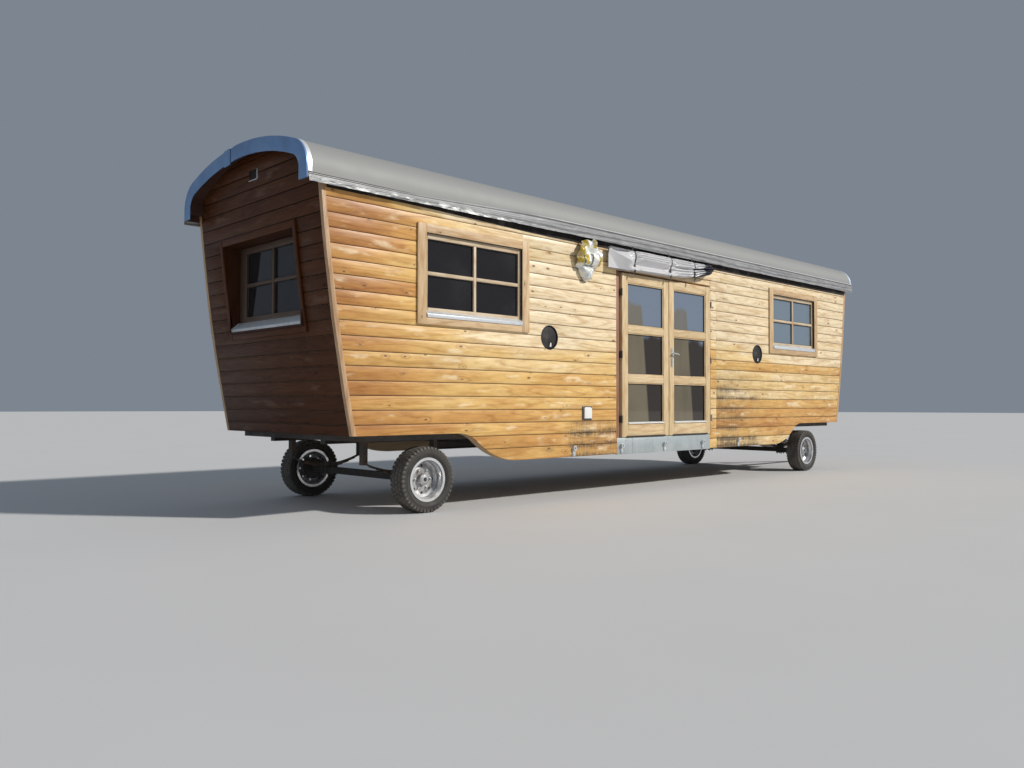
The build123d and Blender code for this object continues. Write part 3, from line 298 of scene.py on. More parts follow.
class Finish:
    """A material under construction. Each method adds a node and returns its output."""

    def __init__(self, name, **sockets):
        self.material = bpy.data.materials.new(name)
        self.material.use_nodes = True
        self.tree = self.material.node_tree
        self.surface = self.tree.nodes["Principled BSDF"]
        for socket, value in sockets.items():
            self.surface.inputs[socket.replace("_", " ")].default_value = value

    def node(self, kind, inputs, output=0, **settings):
        made = self.tree.nodes.new("ShaderNode" + kind)
        for key, value in settings.items():
            setattr(made, key, value)
        for key, value in inputs.items():
            if isinstance(value, bpy.types.NodeSocket):
                self.tree.links.new(value, made.inputs[key])
            else:
                made.inputs[key].default_value = value
        return made.outputs[output]

    def place(self):
        return self.node("TexCoord", {}, output="Object")

    def attribute(self, name, output="Fac"):
        return self.node("Attribute", {}, output=output, attribute_name=name)

    def scaled(self, vector, scale):
        return self.node("VectorMath", {0: vector, 1: scale}, operation="MULTIPLY")

    def split(self, vector, axis):
        return self.node("SeparateXYZ", {0: vector}, output=axis)

    def length_and_height(self):
        """A point's place along the wagon, from its middle, and its height."""
        place = self.place()
        return self.minus(self.split(place, 0), MIDDLE), self.split(place, 2)

    def noise(self, vector, scale, detail=2.0, rough=0.5, distortion=0.0):
        """Cloudy noise; a scale of three numbers stretches it."""
        if isinstance(scale, tuple):
            vector, scale = self.scaled(vector, scale), 1.0
        sockets = {"Vector": vector, "Scale": scale, "Detail": detail, "Roughness": rough}
        return self.node("TexNoise", sockets | {"Distortion": distortion})

    def maths(self, operation, a, b=0.0, c=0.0, clamp=False):
        return self.node("Math", {0: a, 1: b, 2: c}, operation=operation, use_clamp=clamp)

    def plus(self, a, b, clamp=False):
        return self.maths("ADD", a, b, clamp=clamp)

    def minus(self, a, b):
        return self.maths("SUBTRACT", a, b)

    def times(self, *factors, clamp=False):
        product = factors[0]
        for factor in factors[1:]:
            product = self.maths("MULTIPLY", product, factor, clamp=clamp)
        return product

    def times_plus(self, a, b, c, clamp=False):
        return self.maths("MULTIPLY_ADD", a, b, c, clamp)

    def remap(self, value, low, high, to_low=0.0, to_high=1.0):
        return self.node("MapRange", {0: value, 1: low, 2: high, 3: to_low, 4: to_high},
                         interpolation_type="SMOOTHSTEP")

    def mix(self, factor, a, b, blend="MIX"):
        return self.node("Mix", {0: factor, 6: a, 7: b}, output=2, data_type="RGBA", blend_type=blend)

    def ramp(self, value, stops):
        made = self.tree.nodes.new("ShaderNodeValToRGB")
        self.tree.links.new(value, made.inputs[0])
        elements = made.color_ramp.elements
        while len(elements) < len(stops):
            elements.new(0.5)
        for element, (position, colour) in zip(elements, stops):
            element.position = position
            element.color = (*colour, 1)
        return made.outputs[0]

    def bump(self, height, strength=0.5, distance=0.001, below=None):
        sockets = {"Strength": strength, "Distance": distance, "Height": height}
        return self.node("Bump", sockets | ({"Normal": below} if below else {}))

    def wear(self, colour=None, roughness=None, metallic=None, normal=None):
        """Join what was built to the surface, and return the material."""
        joined = {"Base Color": colour, "Roughness": roughness, "Metallic": metallic, "Normal": normal}
        for socket, value in joined.items():
            if value is not None:
                self.tree.links.new(value, self.surface.inputs[socket])
        return self.material


def rgb(*levels):
    return (*levels, 1)


def dimmed(colour, level):
    return rgb(*[level * c for c in colour])


def even_steps(tones):
    """Stops of a colour ramp, evenly spaced."""
    return [(i / (len(tones) - 1), colour) for i, colour in enumerate(tones)]


def wood(name, tones, ring=0.82, knots=0.18, rough=0.5, weathered=False, crowned_with_painted_light=False, shine=0.5,
         front_tones=None):
    """Softwood with rings, fibres and knots along each plank; tones run from dark to pale."""
    f = Finish(name, Roughness=rough, Specular_IOR_Level=shine)
    grain, tone = f.attribute("grain", "Vector"), f.attribute("tone")
    flat_grain = f.node("CombineXYZ", {0: f.split(grain, 0), 1: f.split(grain, 1)})
    knot_cells = {"Vector": f.scaled(flat_grain, (4.0, 9.0, 1.0)), "Scale": 1.0}
    knot_far = f.node("TexVoronoi", knot_cells, voronoi_dimensions="2D")
    knot_colour = f.node("TexVoronoi", knot_cells, output=1, voronoi_dimensions="2D")
    chosen = f.maths("GREATER_THAN", f.split(knot_colour, 0), 1 - knots)
    ragged = f.noise(grain, (40.0, 70.0, 70.0), detail=2.0)
    size = f.times_plus(f.split(knot_colour, 1), 0.06, f.times_plus(ragged, 0.16, -0.05))
    knot = f.times(f.remap(f.minus(knot_far, size), 0.04, -0.01), chosen)
    swirl = f.times(f.remap(knot_far, 0.4, 0.0), f.times(chosen, 0.07))
    figure = f.noise(grain, (0.42, 5.2, 5.2), detail=1.6, distortion=0.25)
    rings = f.maths("PINGPONG", f.times(f.plus(figure, swirl), 17.0), 1.0)
    fibre = f.noise(grain, (5.0, 190.0, 190.0), detail=3.0, rough=0.6)
    patches = f.noise(grain, (1.3, 4.0, 4.0), detail=2.5)
    flame = f.noise(grain, (5.0, 26.0, 26.0), detail=3.0, rough=0.6)
    shade = f.times_plus(tone, 0.52, f.times_plus(patches, 0.7, -0.11))
    if weathered:
        shade = f.plus(shade, bleached(f))
    colour = f.ramp(shade, even_steps(tones))
    if front_tones:
        # The dark tones are painted shade at the rear end; towards the front the same parts take front_tones,
        # their own colour.
        to_front = f.remap(f.split(f.place(), 0), -1.0, 1.0)
        colour = f.mix(to_front, colour, f.ramp(shade, even_steps(front_tones)))
    colour = f.mix(f.remap(rings, 0.55, 1.0), colour, (1.0 * ring, 0.9 * ring, 0.8 * ring, 1), "MULTIPLY")
    for pattern, stops in (
        (fibre, [(0.3, (0.84, 0.8, 0.75)), (0.55, (1, 1, 1)), (0.8, (1.06, 1.05, 1.03))]),
        (flame, [(0.32, (0.86, 0.8, 0.7)), (0.5, (1, 1, 1)), (0.7, (1.1, 1.1, 1.12))]),
    ):
        colour = f.mix(1.0, colour, f.ramp(pattern, stops), "MULTIPLY")
    colour = f.mix(f.times(swirl, 2.5), colour, dimmed(tones[0], 0.75))
    colour = f.mix(f.times(knot, 0.85), colour, dimmed(tones[0], 0.34))
    if weathered:
        colour = weather_stain(f, colour)
    height = f.plus(f.plus(f.times(fibre, 0.6), f.times(rings, -0.25)), f.times(knot, 0.7))
    crown = None
    if crowned_with_painted_light:
        across = f.attribute("across")
        # Painted shade along each board's lower edge, and painted glare highlights across the middle of each
        # board.
        colour = f.mix(f.times(f.remap(across, -0.8, -1.0), 0.5), colour, dimmed(tones[0], 0.3))
        glare = f.noise(grain, (2.6, 9.0, 9.0), detail=3.0, rough=0.55)
        middle = f.remap(f.maths("ABSOLUTE", across), 0.95, 0.2)
        glare = f.times(f.remap(glare, 0.56, 0.7, 0.0, 0.5), middle)
        colour = f.mix(glare, colour, rgb(*[min(1.0, 1.08 * c + 0.06) for c in tones[-1]]))
        crown = f.bump(f.times(across, across, -1.0), 1.0, 0.0008)
    return f.wear(colour, roughness=f.remap(fibre, 0.2, 0.8, rough + 0.1, rough - 0.1),
                  normal=f.bump(height, 0.35, 0.0012, crown))


def bleached(f):
    """Boards go paler high up, less so towards the rear corner and a little more towards the front, and
    redder towards the rear corner.
    """
    x, z = f.length_and_height()
    line = f.plus(z, f.times_plus(f.noise(f.place(), (0.5, 0.5, 2.2), detail=2.0), 0.7, -0.35))
    high = f.times(f.remap(line, 1.55, 2.15), f.remap(x, -4.9, -2.6))
    forward = f.times(f.remap(x, 0.6, 2.0, 0.0, 0.1), f.remap(line, 1.3, 1.9))
    redder = f.remap(x, -3.4, -5.2, 0.0, -0.42)
    return f.plus(f.times_plus(high, 0.55, redder), forward)


def weather_stain(f, colour):
    """Grey-black weathering: along board edges beside the doors, a patch below the inlet, and specks."""
    place = f.place()
    x, z = f.length_and_height()
    across = f.attribute("across")
    streaks = f.noise(place, (4.0, 4.0, 26.0), detail=5.0, rough=0.7)
    blots = f.noise(place, (2.2, 2.2, 5.0), detail=4.0, rough=0.6)
    drips = f.noise(place, (70.0, 70.0, 12.0), detail=3.0, rough=0.7)
    ahead = f.times(f.remap(x, 1.156, 1.162), f.remap(x, 2.9, 1.2), f.remap(z, 1.65, 0.8, 0.05, 0.95))
    behind = f.times(f.remap(x, -2.1, -1.8), f.remap(x, -1.08, -1.1), f.remap(z, 0.93, 0.78, 0.0, 1.35))
    mottled = f.times_plus(blots, 1.3, f.times_plus(streaks, 1.5, -0.95), clamp=True)
    mottled = f.times(mottled, f.remap(drips, 0.36, 0.58, 0.3, 1.0))
    edge = f.remap(f.maths("ABSOLUTE", across), 0.1, 1.0, 0.35, 1.0)
    own = f.remap(f.attribute("tone"), 0.2, 0.8, 0.45, 1.3)
    doors_side = f.times(own, f.remap(f.split(place, 1), 0.5, -0.5))
    grime = f.times(f.plus(ahead, behind), f.times(mottled, edge), doors_side)
    splash = f.times(f.remap(z, 0.8, 0.48), f.remap(blots, 0.45, 0.75))
    grime = f.maths("MAXIMUM", f.times(grime, 4.2, clamp=True), f.times(splash, 0.5))
    bleeding = f.times(f.remap(across, 0.15, 0.9), f.remap(drips, 0.55, 0.66), f.remap(streaks, 0.45, 0.6))
    specks = f.remap(f.noise(place, (38.0, 38.0, 60.0), detail=2.0), 0.66, 0.74)
    fronting = f.times(f.remap(x, 0.9, 1.8), f.remap(z, 2.0, 1.2, 0.25, 1.0))
    spotted = f.maths("MAXIMUM", specks, f.times(bleeding, 1.2))
    grime = f.maths("MAXIMUM", grime, f.times(spotted, f.times_plus(fronting, 0.6, 0.12)))
    return f.mix(f.times(grime, 0.88), colour, rgb(0.085, 0.062, 0.045))


def plastic(name, colour, rough):
    """Moulded plastic with a fine texture and a little dust."""
    f = Finish(name)
    place = f.place()
    dust = f.noise(place, 6.0, detail=4.0)
    pebble = f.noise(place, 900.0, detail=1.0)
    dusty = f.mix(f.remap(dust, 0.45, 0.85, 0.0, 0.25), rgb(*colour), rgb(0.35, 0.33, 0.3))
    return f.wear(dusty, roughness=f.remap(dust, 0.2, 0.8, rough, rough + 0.2),
                  normal=f.bump(pebble, 0.15, 0.0003))


def sheet_metal(name, colour, metallic, rough, spangle=0.0, dull=0.12, waves=0.35):
    """Bare or coated sheet with faint waves, streaks and, where zinc-dipped, a spangle."""
    f = Finish(name, Metallic=metallic)
    place = f.place()
    cloud = f.noise(place, 3.1, detail=4.0)
    runs = f.noise(place, (22.0, 22.0, 2.0), detail=3.0)
    flakes = f.node("TexVoronoi", {"Vector": place, "Scale": 55.0}, output=1)
    tone = f.mix(f.remap(cloud, 0.3, 0.75), rgb(*colour), dimmed(colour, 1 - dull * 2))
    tone = f.mix(f.remap(runs, 0.5, 0.8, 0.0, 0.35), tone, rgb(0.3, 0.29, 0.27))
    tone = f.mix(spangle, tone, flakes, "SOFT_LIGHT")
    wave = f.noise(place, (1.5, 5.0, 5.0), detail=2.0)
    return f.wear(tone, roughness=f.remap(cloud, 0.25, 0.8, rough - 0.06, rough + 0.14),
                  normal=f.bump(wave, waves, 0.01))


def steel_paint(name, colour, rust=0.35, dusty=0.5):
    """Old black chassis paint under road dust, with rust in patches."""
    f = Finish(name, Metallic=0.0)
    place = f.place()
    patch = f.noise(place, 7.0, detail=6.0, rough=0.65)
    fine = f.noise(place, 60.0, detail=4.0)
    up = f.split(f.node("NewGeometry", {}, output="Normal"), 2)
    settled = f.times_plus(f.remap(up, 0.1, 1.0), 0.6, f.times(fine, 0.55))
    tone = f.mix(f.remap(patch, 0.62 - rust * 0.2, 0.75), rgb(*colour), rgb(0.16, 0.065, 0.03))
    tone = f.mix(f.times(settled, dusty, clamp=True), tone, rgb(0.24, 0.21, 0.175))
    return f.wear(tone, roughness=f.remap(patch, 0.3, 0.7, 0.5, 0.85), normal=f.bump(fine, 0.3, 0.0006))


def from_axle(f):
    """How far a point of a wheel is from its axle line."""
    x, z = f.length_and_height()
    along, up = f.minus(f.maths("ABSOLUTE", x), AXLE_X), f.minus(z, AXLE_Z)
    return f.maths("SQRT", f.plus(f.times(along, along), f.times(up, up)))


def rubber():
    """Tyre rubber, greyed by dust that lies thicker in the tread and on the shoulder."""
    f = Finish("tyre_rubber")
    place, far = f.place(), from_axle(f)
    cloud = f.noise(place, 9.0, detail=5.0)
    fine = f.noise(place, 160.0, detail=3.0)
    tone = f.mix(f.remap(cloud, 0.3, 0.7, 0.1, 0.45), rgb(0.014, 0.014, 0.014), rgb(0.1, 0.09, 0.078))
    dusty = f.times(f.remap(far, 0.29, 0.328), f.remap(cloud, 0.3, 0.6, 0.35, 0.75))
    tone = f.mix(dusty, tone, rgb(0.17, 0.155, 0.135))
    tone = f.mix(f.remap(fine, 0.4, 0.8, 0.0, 0.35), tone, rgb(0.08, 0.072, 0.064))
    return f.wear(tone, roughness=f.remap(cloud, 0.3, 0.8, 0.62, 0.9), normal=f.bump(fine, 0.25, 0.0006))


def wheel_metal():
    """Silver wheel enamel: a bright flange, and brake dust over the dish and round the nuts, the dish
    darkened by painted shade as well.
    """
    f = Finish("wheel_enamel", Metallic=0.75)
    place, far = f.place(), from_axle(f)
    cloud = f.noise(place, 14.0, detail=5.0)
    specks = f.noise(place, 220.0, detail=2.0)
    # Brake dust and painted shade darken the deep dish.
    dish_dust_and_shade = f.remap(far, 0.2, 0.165, 0.05, 0.6)
    dusty = f.plus(dish_dust_and_shade, f.remap(cloud, 0.4, 0.75, -0.15, 0.25), clamp=True)
    tone = f.mix(dusty, rgb(0.8, 0.81, 0.83), rgb(0.13, 0.115, 0.1))
    tone = f.mix(f.remap(specks, 0.62, 0.75, 0.0, 0.5), tone, rgb(0.12, 0.1, 0.09))
    return f.wear(tone, roughness=f.remap(dusty, 0.1, 0.9, 0.24, 0.7), normal=f.bump(specks, 0.08, 0.0004))


def coated_cloth(name, colour, rough=0.36, weave=0.12, soil=0.25, metallic=0.0, creased=0.25, patchy=0.16):
    """Coated fabric: a smooth skin over a fine scrim, with soft soiling."""
    f = Finish(name, Metallic=metallic)
    place = f.place()
    cloud = f.noise(place, 4.0, detail=5.0)
    threads = {"Vector": place, "Scale": 260.0}
    scrim = f.plus(*[f.node("TexWave", threads, output=1, bands_direction=way) for way in "XZ"])
    crease = f.noise(place, (5.0, 9.0, 16.0), detail=4.0, rough=0.6)
    tone = f.mix(f.remap(cloud, 0.4, 0.85, 0.0, soil), rgb(*colour), rgb(0.3, 0.28, 0.25))
    surface = f.bump(crease, creased, 0.006, f.bump(scrim, weave, 0.0003))
    return f.wear(tone, roughness=f.remap(cloud, 0.3, 0.8, rough, rough + patchy), normal=surface)


def eave_skin():
    """The roof sheet's loose edge: dull grey, with painted white glints on its crumples towards the rear and
    a painted highlight along its top fold farther forward.
    """
    f = Finish("eave_membrane", Metallic=0.1)
    place = f.place()
    x, z = f.length_and_height()
    crease = f.noise(place, (6.0, 6.0, 24.0), detail=4.0, rough=0.65)
    spread = f.noise(place, (1.7, 1.0, 1.0), detail=2.0)
    tone = f.ramp(crease, [(0.3, (0.23, 0.235, 0.24)), (0.5, (0.29, 0.295, 0.3)), (0.7, (0.34, 0.345, 0.35))])
    crumpled = f.times(f.remap(crease, 0.5, 0.58), f.remap(x, -1.8, -3.0))
    # Painted glints on the crumples, and a painted highlight along the top fold.
    glint = f.times(crumpled, f.remap(spread, 0.42, 0.56), f.remap(z, 3.13, 3.09))
    fold = f.times(f.remap(z, 3.196, 3.206), f.remap(x, -3.0, -2.0))
    tone = f.mix(f.maths("MAXIMUM", glint, f.times(fold, 0.8)), tone, rgb(0.8, 0.81, 0.8))
    return f.wear(tone, roughness=f.remap(spread, 0.3, 0.8, 0.34, 0.5), normal=f.bump(crease, 0.14, 0.006))


def crumpled_film():
    """Thin film, crumpled: silver and white, with faded ochre where its panels fall and dark grey-green on
    its dark marks, which along the neck are painted shade.
    """
    f = Finish("crumpled_film", Metallic=0.2)
    place = f.place()
    wrinkle = f.noise(place, 34.0, detail=5.0, rough=0.65)
    field = f.noise(place, 13.0, detail=3.0, distortion=0.6)
    base = f.ramp(field, [(0.36, (0.6, 0.66, 0.7)), (0.5, (0.88, 0.89, 0.88)), (0.66, (0.84, 0.83, 0.7))])
    ochre = f.times(f.attribute("ochre"), f.remap(field, 0.25, 0.5, 0.55, 1.0))
    base = f.mix(ochre, base, f.ramp(wrinkle, [(0.3, (0.34, 0.24, 0.03)), (0.6, (0.62, 0.46, 0.07))]))
    # Dark marks; the one along the neck is painted shade in its crease.
    base = f.mix(f.attribute("dark"), base, rgb(0.05, 0.06, 0.05))
    return f.wear(base, roughness=f.remap(wrinkle, 0.3, 0.7, 0.2, 0.45), normal=f.bump(wrinkle, 0.35, 0.006))


def window_glass():
    """Double glazing with the dim room behind painted in as shade, a painted bluish sky reflection towards
    the front, and a smear of dust.
    """
    f = Finish("window_glass", Roughness=0.03, IOR=1.5, Alpha=0.82)
    place = f.place()
    smear = f.noise(place, 2.2, detail=5.0)
    tone = f.mix(f.remap(smear, 0.45, 0.8, 0.0, 0.3), rgb(0.02, 0.018, 0.02), rgb(0.065, 0.065, 0.07))
    # Painted sky reflection, bluish, towards the front.
    sky_reflection = f.times(f.remap(f.split(place, 0), 0.5, 2.0), f.remap(f.split(place, 1), 0.0, -1.0))
    tone = f.mix(f.times(sky_reflection, 0.9), tone, rgb(0.24, 0.31, 0.385))
    return f.wear(tone)


def door_glazing():
    """Door panes: a painted blue sky reflection high up, the dim brown room painted in as shade lower down,
    and a painted lit patch of it behind each leaf.
    """
    f = Finish("door_glazing", Roughness=0.03, IOR=1.5, Alpha=0.92)
    x, z = f.length_and_height()
    cloud = f.noise(f.place(), (2.4, 2.4, 1.0), detail=4.0)
    line = f.plus(z, f.times_plus(cloud, 0.5, -0.25))
    # Painted sky reflection above, the room's painted shade below.
    colour = f.mix(f.remap(line, 1.93, 2.03), rgb(0.04, 0.033, 0.028), rgb(0.19, 0.235, 0.31))
    leaf = f.maths("FRACT", f.plus(x, 1.0))
    slanted = f.times_plus(z, 0.1, leaf)
    lit = f.times(f.remap(slanted, 0.7, 0.66), f.remap(leaf, 0.1, 0.2), f.remap(line, 2.37, 2.31))
    lit = f.times(lit, f.remap(cloud, 0.3, 0.6, 0.6, 0.95))
    return f.wear(f.mix(lit, colour, rgb(0.19, 0.165, 0.115)))


LARCH = [(0.48, 0.215, 0.06), (0.64, 0.34, 0.1), (0.76, 0.485, 0.165), (0.84, 0.63, 0.31), (0.89, 0.74, 0.5)]
FRONT_LARCH = [(0.5, 0.23, 0.07), (0.62, 0.35, 0.12), (0.73, 0.48, 0.2)]
# Painted shade: SHADED darkens the rear end's boards and window casings for the shade they stand in.
SHADED = [(0.055, 0.016, 0.004), (0.08, 0.026, 0.007), (0.105, 0.038, 0.011)]
PALE = [(0.5, 0.32, 0.185), (0.57, 0.38, 0.225), (0.63, 0.44, 0.275)]
CASING_TONES = [(0.55, 0.38, 0.21), (0.64, 0.46, 0.27), (0.72, 0.54, 0.33)]
SASH_TONES = [(0.55, 0.43, 0.29), (0.62, 0.5, 0.35), (0.68, 0.56, 0.41)]
LEAF = [(0.61, 0.45, 0.25), (0.7, 0.54, 0.32), (0.77, 0.62, 0.4)]
# Painted shade: the door frame's jambs, stops and threshold, pinkish wood darkened for the shadow beside the
# leaves.
ROSY_IN_SHADE = [(0.3, 0.155, 0.1), (0.36, 0.19, 0.125), (0.41, 0.23, 0.155)]
# Painted shade: the rear end window's linings and sashes, and the soffit, darkened for the shade they stand
# in.
SHADED_LINING = [(0.04, 0.013, 0.006), (0.055, 0.019, 0.009), (0.07, 0.026, 0.012)]
SHADED_SASH_TONES = [(0.07, 0.042, 0.028), (0.09, 0.056, 0.038), (0.11, 0.072, 0.05)]
PLY = [(0.42, 0.3, 0.18), (0.5, 0.36, 0.22), (0.56, 0.41, 0.26)]

larch = wood("larch_boards", LARCH, weathered=True, crowned_with_painted_light=True, rough=0.42)
end_larch = wood("shaded_end_boards", SHADED, crowned_with_painted_light=True, rough=0.5, shine=0.2)
front_larch = wood("front_end_boards", FRONT_LARCH, crowned_with_painted_light=True, rough=0.42)
corner_larch = wood("corner_boards", PALE, knots=0.06)
casing_wood = wood("casing_wood", CASING_TONES, knots=0.05, ring=0.86)
end_casing_wood = wood("end_casing_wood", SHADED, knots=0.05, shine=0.2, front_tones=CASING_TONES)
sash_wood = wood("sash_wood", SASH_TONES, knots=0.0, ring=0.88)
end_sash_wood = wood("end_sash_wood", SHADED_SASH_TONES, knots=0.0, ring=0.88, front_tones=SASH_TONES)
leaf_wood = wood("door_leaf_wood", LEAF, knots=0.03, ring=0.88)
rosy_wood_in_shade = wood("door_frame_wood", ROSY_IN_SHADE, knots=0.0, ring=0.85)
lining_wood = wood("end_lining_wood", SHADED_LINING, knots=0.05, shine=0.2, front_tones=CASING_TONES)
glass = window_glass()
door_glass = door_glazing()
pale_larch = wood("doorway_head_wood", [(0.84, 0.66, 0.4), (0.89, 0.75, 0.52)], knots=0.05)
membrane = coated_cloth("roof_membrane", (0.285, 0.29, 0.285), rough=0.56, weave=0.05, soil=0.2, creased=0.05,
                        patchy=0.05)
eave_film = eave_skin()
# The fascia sheet's strong blue is partly painted sky reflection on grey zinc.
fascia_metal = sheet_metal("fascia_sheet", (0.2, 0.36, 0.64), 0.45, 0.36)
sill_metal = sheet_metal("sill_aluminium", (0.76, 0.79, 0.82), 0.4, 0.38, dull=0.06, waves=0.08)
bright_trim = sheet_metal("bright_trim", (0.86, 0.86, 0.83), 0.1, 0.4, dull=0.04)
zinc = sheet_metal("galvanised_plate", (0.5, 0.56, 0.58), 0.4, 0.42, spangle=0.08)
fitting_steel = sheet_metal("fitting_steel", (0.62, 0.64, 0.65), 0.7, 0.34)
lug_steel = sheet_metal("galvanised_lugs", (0.72, 0.76, 0.78), 0.35, 0.36, spangle=0.05)
# A near-black sheet of painted shade, under the eaves and in the gable vent.
shade_sheet = plastic("shade_sheet", (0.012, 0.008, 0.007), 0.8)
dark_steel = sheet_metal("dark_fittings", (0.12, 0.11, 0.1), 0.5, 0.5)
black_plastic = plastic("black_plastic", (0.012, 0.012, 0.013), 0.4)
port_plastic = plastic("port_flaps", (0.005, 0.004, 0.004), 0.5)
trim_plastic = plastic("grey_trim", (0.09, 0.09, 0.09), 0.5)
white_plastic = plastic("white_plastic", (0.82, 0.83, 0.82), 0.3)
gasket = plastic("gasket_rubber", (0.02, 0.02, 0.02), 0.6)
chassis_paint = steel_paint("chassis_paint", (0.018, 0.018, 0.019))
spring_steel = steel_paint("spring_steel", (0.03, 0.027, 0.025), rust=0.9)
tyre_rubber = rubber()
wheel_enamel = wheel_metal()
awning_cloth = coated_cloth("awning_cloth", (0.6, 0.6, 0.62), rough=0.34, soil=0.18)
navy_cloth = coated_cloth("navy_cloth", (0.006, 0.008, 0.024), rough=0.65)
strap_webbing = coated_cloth("strap_webbing", (0.015, 0.015, 0.016), rough=0.65, weave=0.5)
film = crumpled_film()


def plain_wood(name, tones):
    """Sheet and framing timber that shows only through glass, in gaps and from below."""
    f = Finish(name, Roughness=0.7)
    place = f.place()
    streaks = f.noise(place, (1.4, 30.0, 30.0), detail=4.0)
    rows = f.maths("PINGPONG", f.times(f.split(place, 1), 9.0), 1.0)
    colour = f.ramp(streaks, [(0.25, tones[0]), (0.5, tones[1]), (0.75, tones[2])])
    colour = f.mix(f.remap(rows, 0.04, 0.0), colour, dimmed(tones[0], 0.3))
    return f.wear(colour, normal=f.bump(f.plus(streaks, f.remap(rows, 0.0, 0.05)), 0.3, 0.003))


# CAD nodes whose shape is right keep it and get their finish

def finish_nodes(finish, *names):
    for name in names:
        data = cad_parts[name].data
        data.materials.clear()
        data.materials.append(finish)


ply = plain_wood("inner_panels", PLY)
# The soffit takes the dark lining tones: painted shade under the roof.
soffit = plain_wood("soffit_boards", SHADED_LINING)
finish_nodes(ply, "door_side_wall", "back_side_wall", "rear_end_wall", "front_end_wall", "floor_deck",
             "floor_risers")
finish_nodes(soffit, "roof_shell")
finish_nodes(glass, "window_glass")
finish_nodes(door_glass, "rear_door_glass", "front_door_glass")
finish_nodes(chassis_paint, "chassis_beams", "cross_members", "edge_rails", "turntable_upper_ring",
             "bogie_frame", "drawbar", "towing_eye", "rear_axle", "front_axle")
finish_nodes(spring_steel, "rear_springs", "front_springs")
finish_nodes(wheel_enamel, *[f"{end}_{side}_rim" for end in ("rear", "front") for side in ("right", "left")])


# Cladding

def split_long_boards(bm):
    """Cut boards longer than a plank into lengths, with a hairline gap at each butt joint."""
    along = Vector((1, 0, 0))
    for group in islands(bm):
        low, high = min(v.co.x for v in group), max(v.co.x for v in group)
        count = int((high - low) / PLANK_LENGTH) + 1
        draw = Random(round(group[0].co.z * 100))
        row = group
        for step in range(1, count):
            drift = draw.uniform(-0.3, 0.3) * (high - low) / count
            joint = low + (high - low) * step / count + drift
            for side in (-1, 1):
                faces = sorted({f for v in row for f in v.link_faces}, key=lambda f: f.index)
                edges = sorted({e for f in faces for e in f.edges}, key=lambda e: e.index)
                cut = along * (joint + side * JOINT_GAP / 2)
                made = bmesh.ops.bisect_plane(bm, geom=row + edges + faces, plane_co=cut, plane_no=along)
                row = row + [g for g in made["geom_cut"] if isinstance(g, bmesh.types.BMVert)]
            waste = [f for f in bm.faces if abs(f.calc_center_median().x - joint) < JOINT_GAP / 2
                     and abs(f.calc_center_median().z - group[0].co.z) < 0.15]
            bmesh.ops.delete(bm, geom=waste, context="FACES")
            bmesh.ops.holes_fill(bm, edges=[e for e in bm.edges if e.is_boundary])
            bm.faces.index_update()
            bm.edges.index_update()


def cladding():
    for node, finish, split in (
        ("door_side_boards", larch, True),
        ("back_side_boards", larch, True),
        ("rear_end_boards", end_larch, False),
        ("front_end_boards", front_larch, False),
    ):
        bm = welded(node)
        if split:
            bm.faces.index_update()
            bm.edges.index_update()
            split_long_boards(bm)
        ease(bm, 0.004)
        piece(bm, node.replace("boards", "cladding"), finish, [node], planks=True)
    bm = ease(welded("corner_boards"), 0.003)
    piece(bm, "corner_posts", corner_larch, ["corner_boards"], planks=True)


cladding()


# Windows: casing boards, linings, sashes with glazing bars, beads and sills

def leaned(point):
    """Bend a casing made flat at the wall's foot to the lean of an end wall."""
    return Vector((point.x, point.y - (end_x(point.z) - END_FOOT_X), point.z))


def rect(centre, middle_z, size):
    """The left, right, lower and upper edges of an upright rectangle."""
    return centre - size.x / 2, centre + size.x / 2, middle_z - size.y / 2, middle_z + size.y / 2


def add_frame(bm, place, outer, opening, front, back, edge=0.004, segments=3, gap=0.0004, step=0.0006,
              slices=1, bend=None):
    """Two uprights that run through, and two rails between them whose joints just show."""
    x0, x1, z0, z1 = outer
    u0, u1, v0, v1 = opening
    for low, high, count in (
        ((x0, front, z0), (u0, back, z1), slices),
        ((u1, front, z0), (x1, back, z1), slices),
        ((u0 + gap, front + step, z0), (u1 - gap, back, v0), 1),
        ((u0 + gap, front + step, v1), (u1 - gap, back, z1), 1),
    ):
        put(bm, sliced(block(low, high, edge, segments), 2, count), place, bend)


def add_casing(bm, place, outer, opening, face, bend=None):
    """Four boards round an opening, planted on a wall's face."""
    add_frame(bm, place, outer, opening, -face - CASING_THICKNESS, -face, 0.0035, 2, 0.0005, 0.001, 8, bend)


def add_bars(bm, beads, place, opening, front):
    """A cross of glazing bars, and dark beads that hold its four panes."""
    u0, u1, v0, v1 = opening
    x, z, half = (u0 + u1) / 2, (v0 + v1) / 2, BAR_WIDTH / 2
    face, back = front + 0.002, front + 0.028
    put(bm, block((x - half, face, v0), (x + half, back, v1), 0.007, 3), place)
    for left, right in ((u0, x - half), (x + half, u1)):
        put(bm, block((left, face, z - half), (right, back, z + half), 0.007, 3), place)
        for low, high in ((v0, z - half), (z + half, v1)):
            add_bead(beads, place, left, right, low, high, front + 0.019, 0.006)


def add_bead(bm, place, u0, u1, v0, v1, front, width):
    """A thin frame round a pane, in front of its glass."""
    back = front + 0.008
    for low, high in (
        ((u0, front, v0), (u0 + width, back, v1)),
        ((u1 - width, front, v0), (u1, back, v1)),
        ((u0, front, v0), (u1, back, v0 + width)),
        ((u0, front, v1 - width), (u1, back, v1)),
    ):
        put(bm, block(low, high, 0.0015, 1), place)


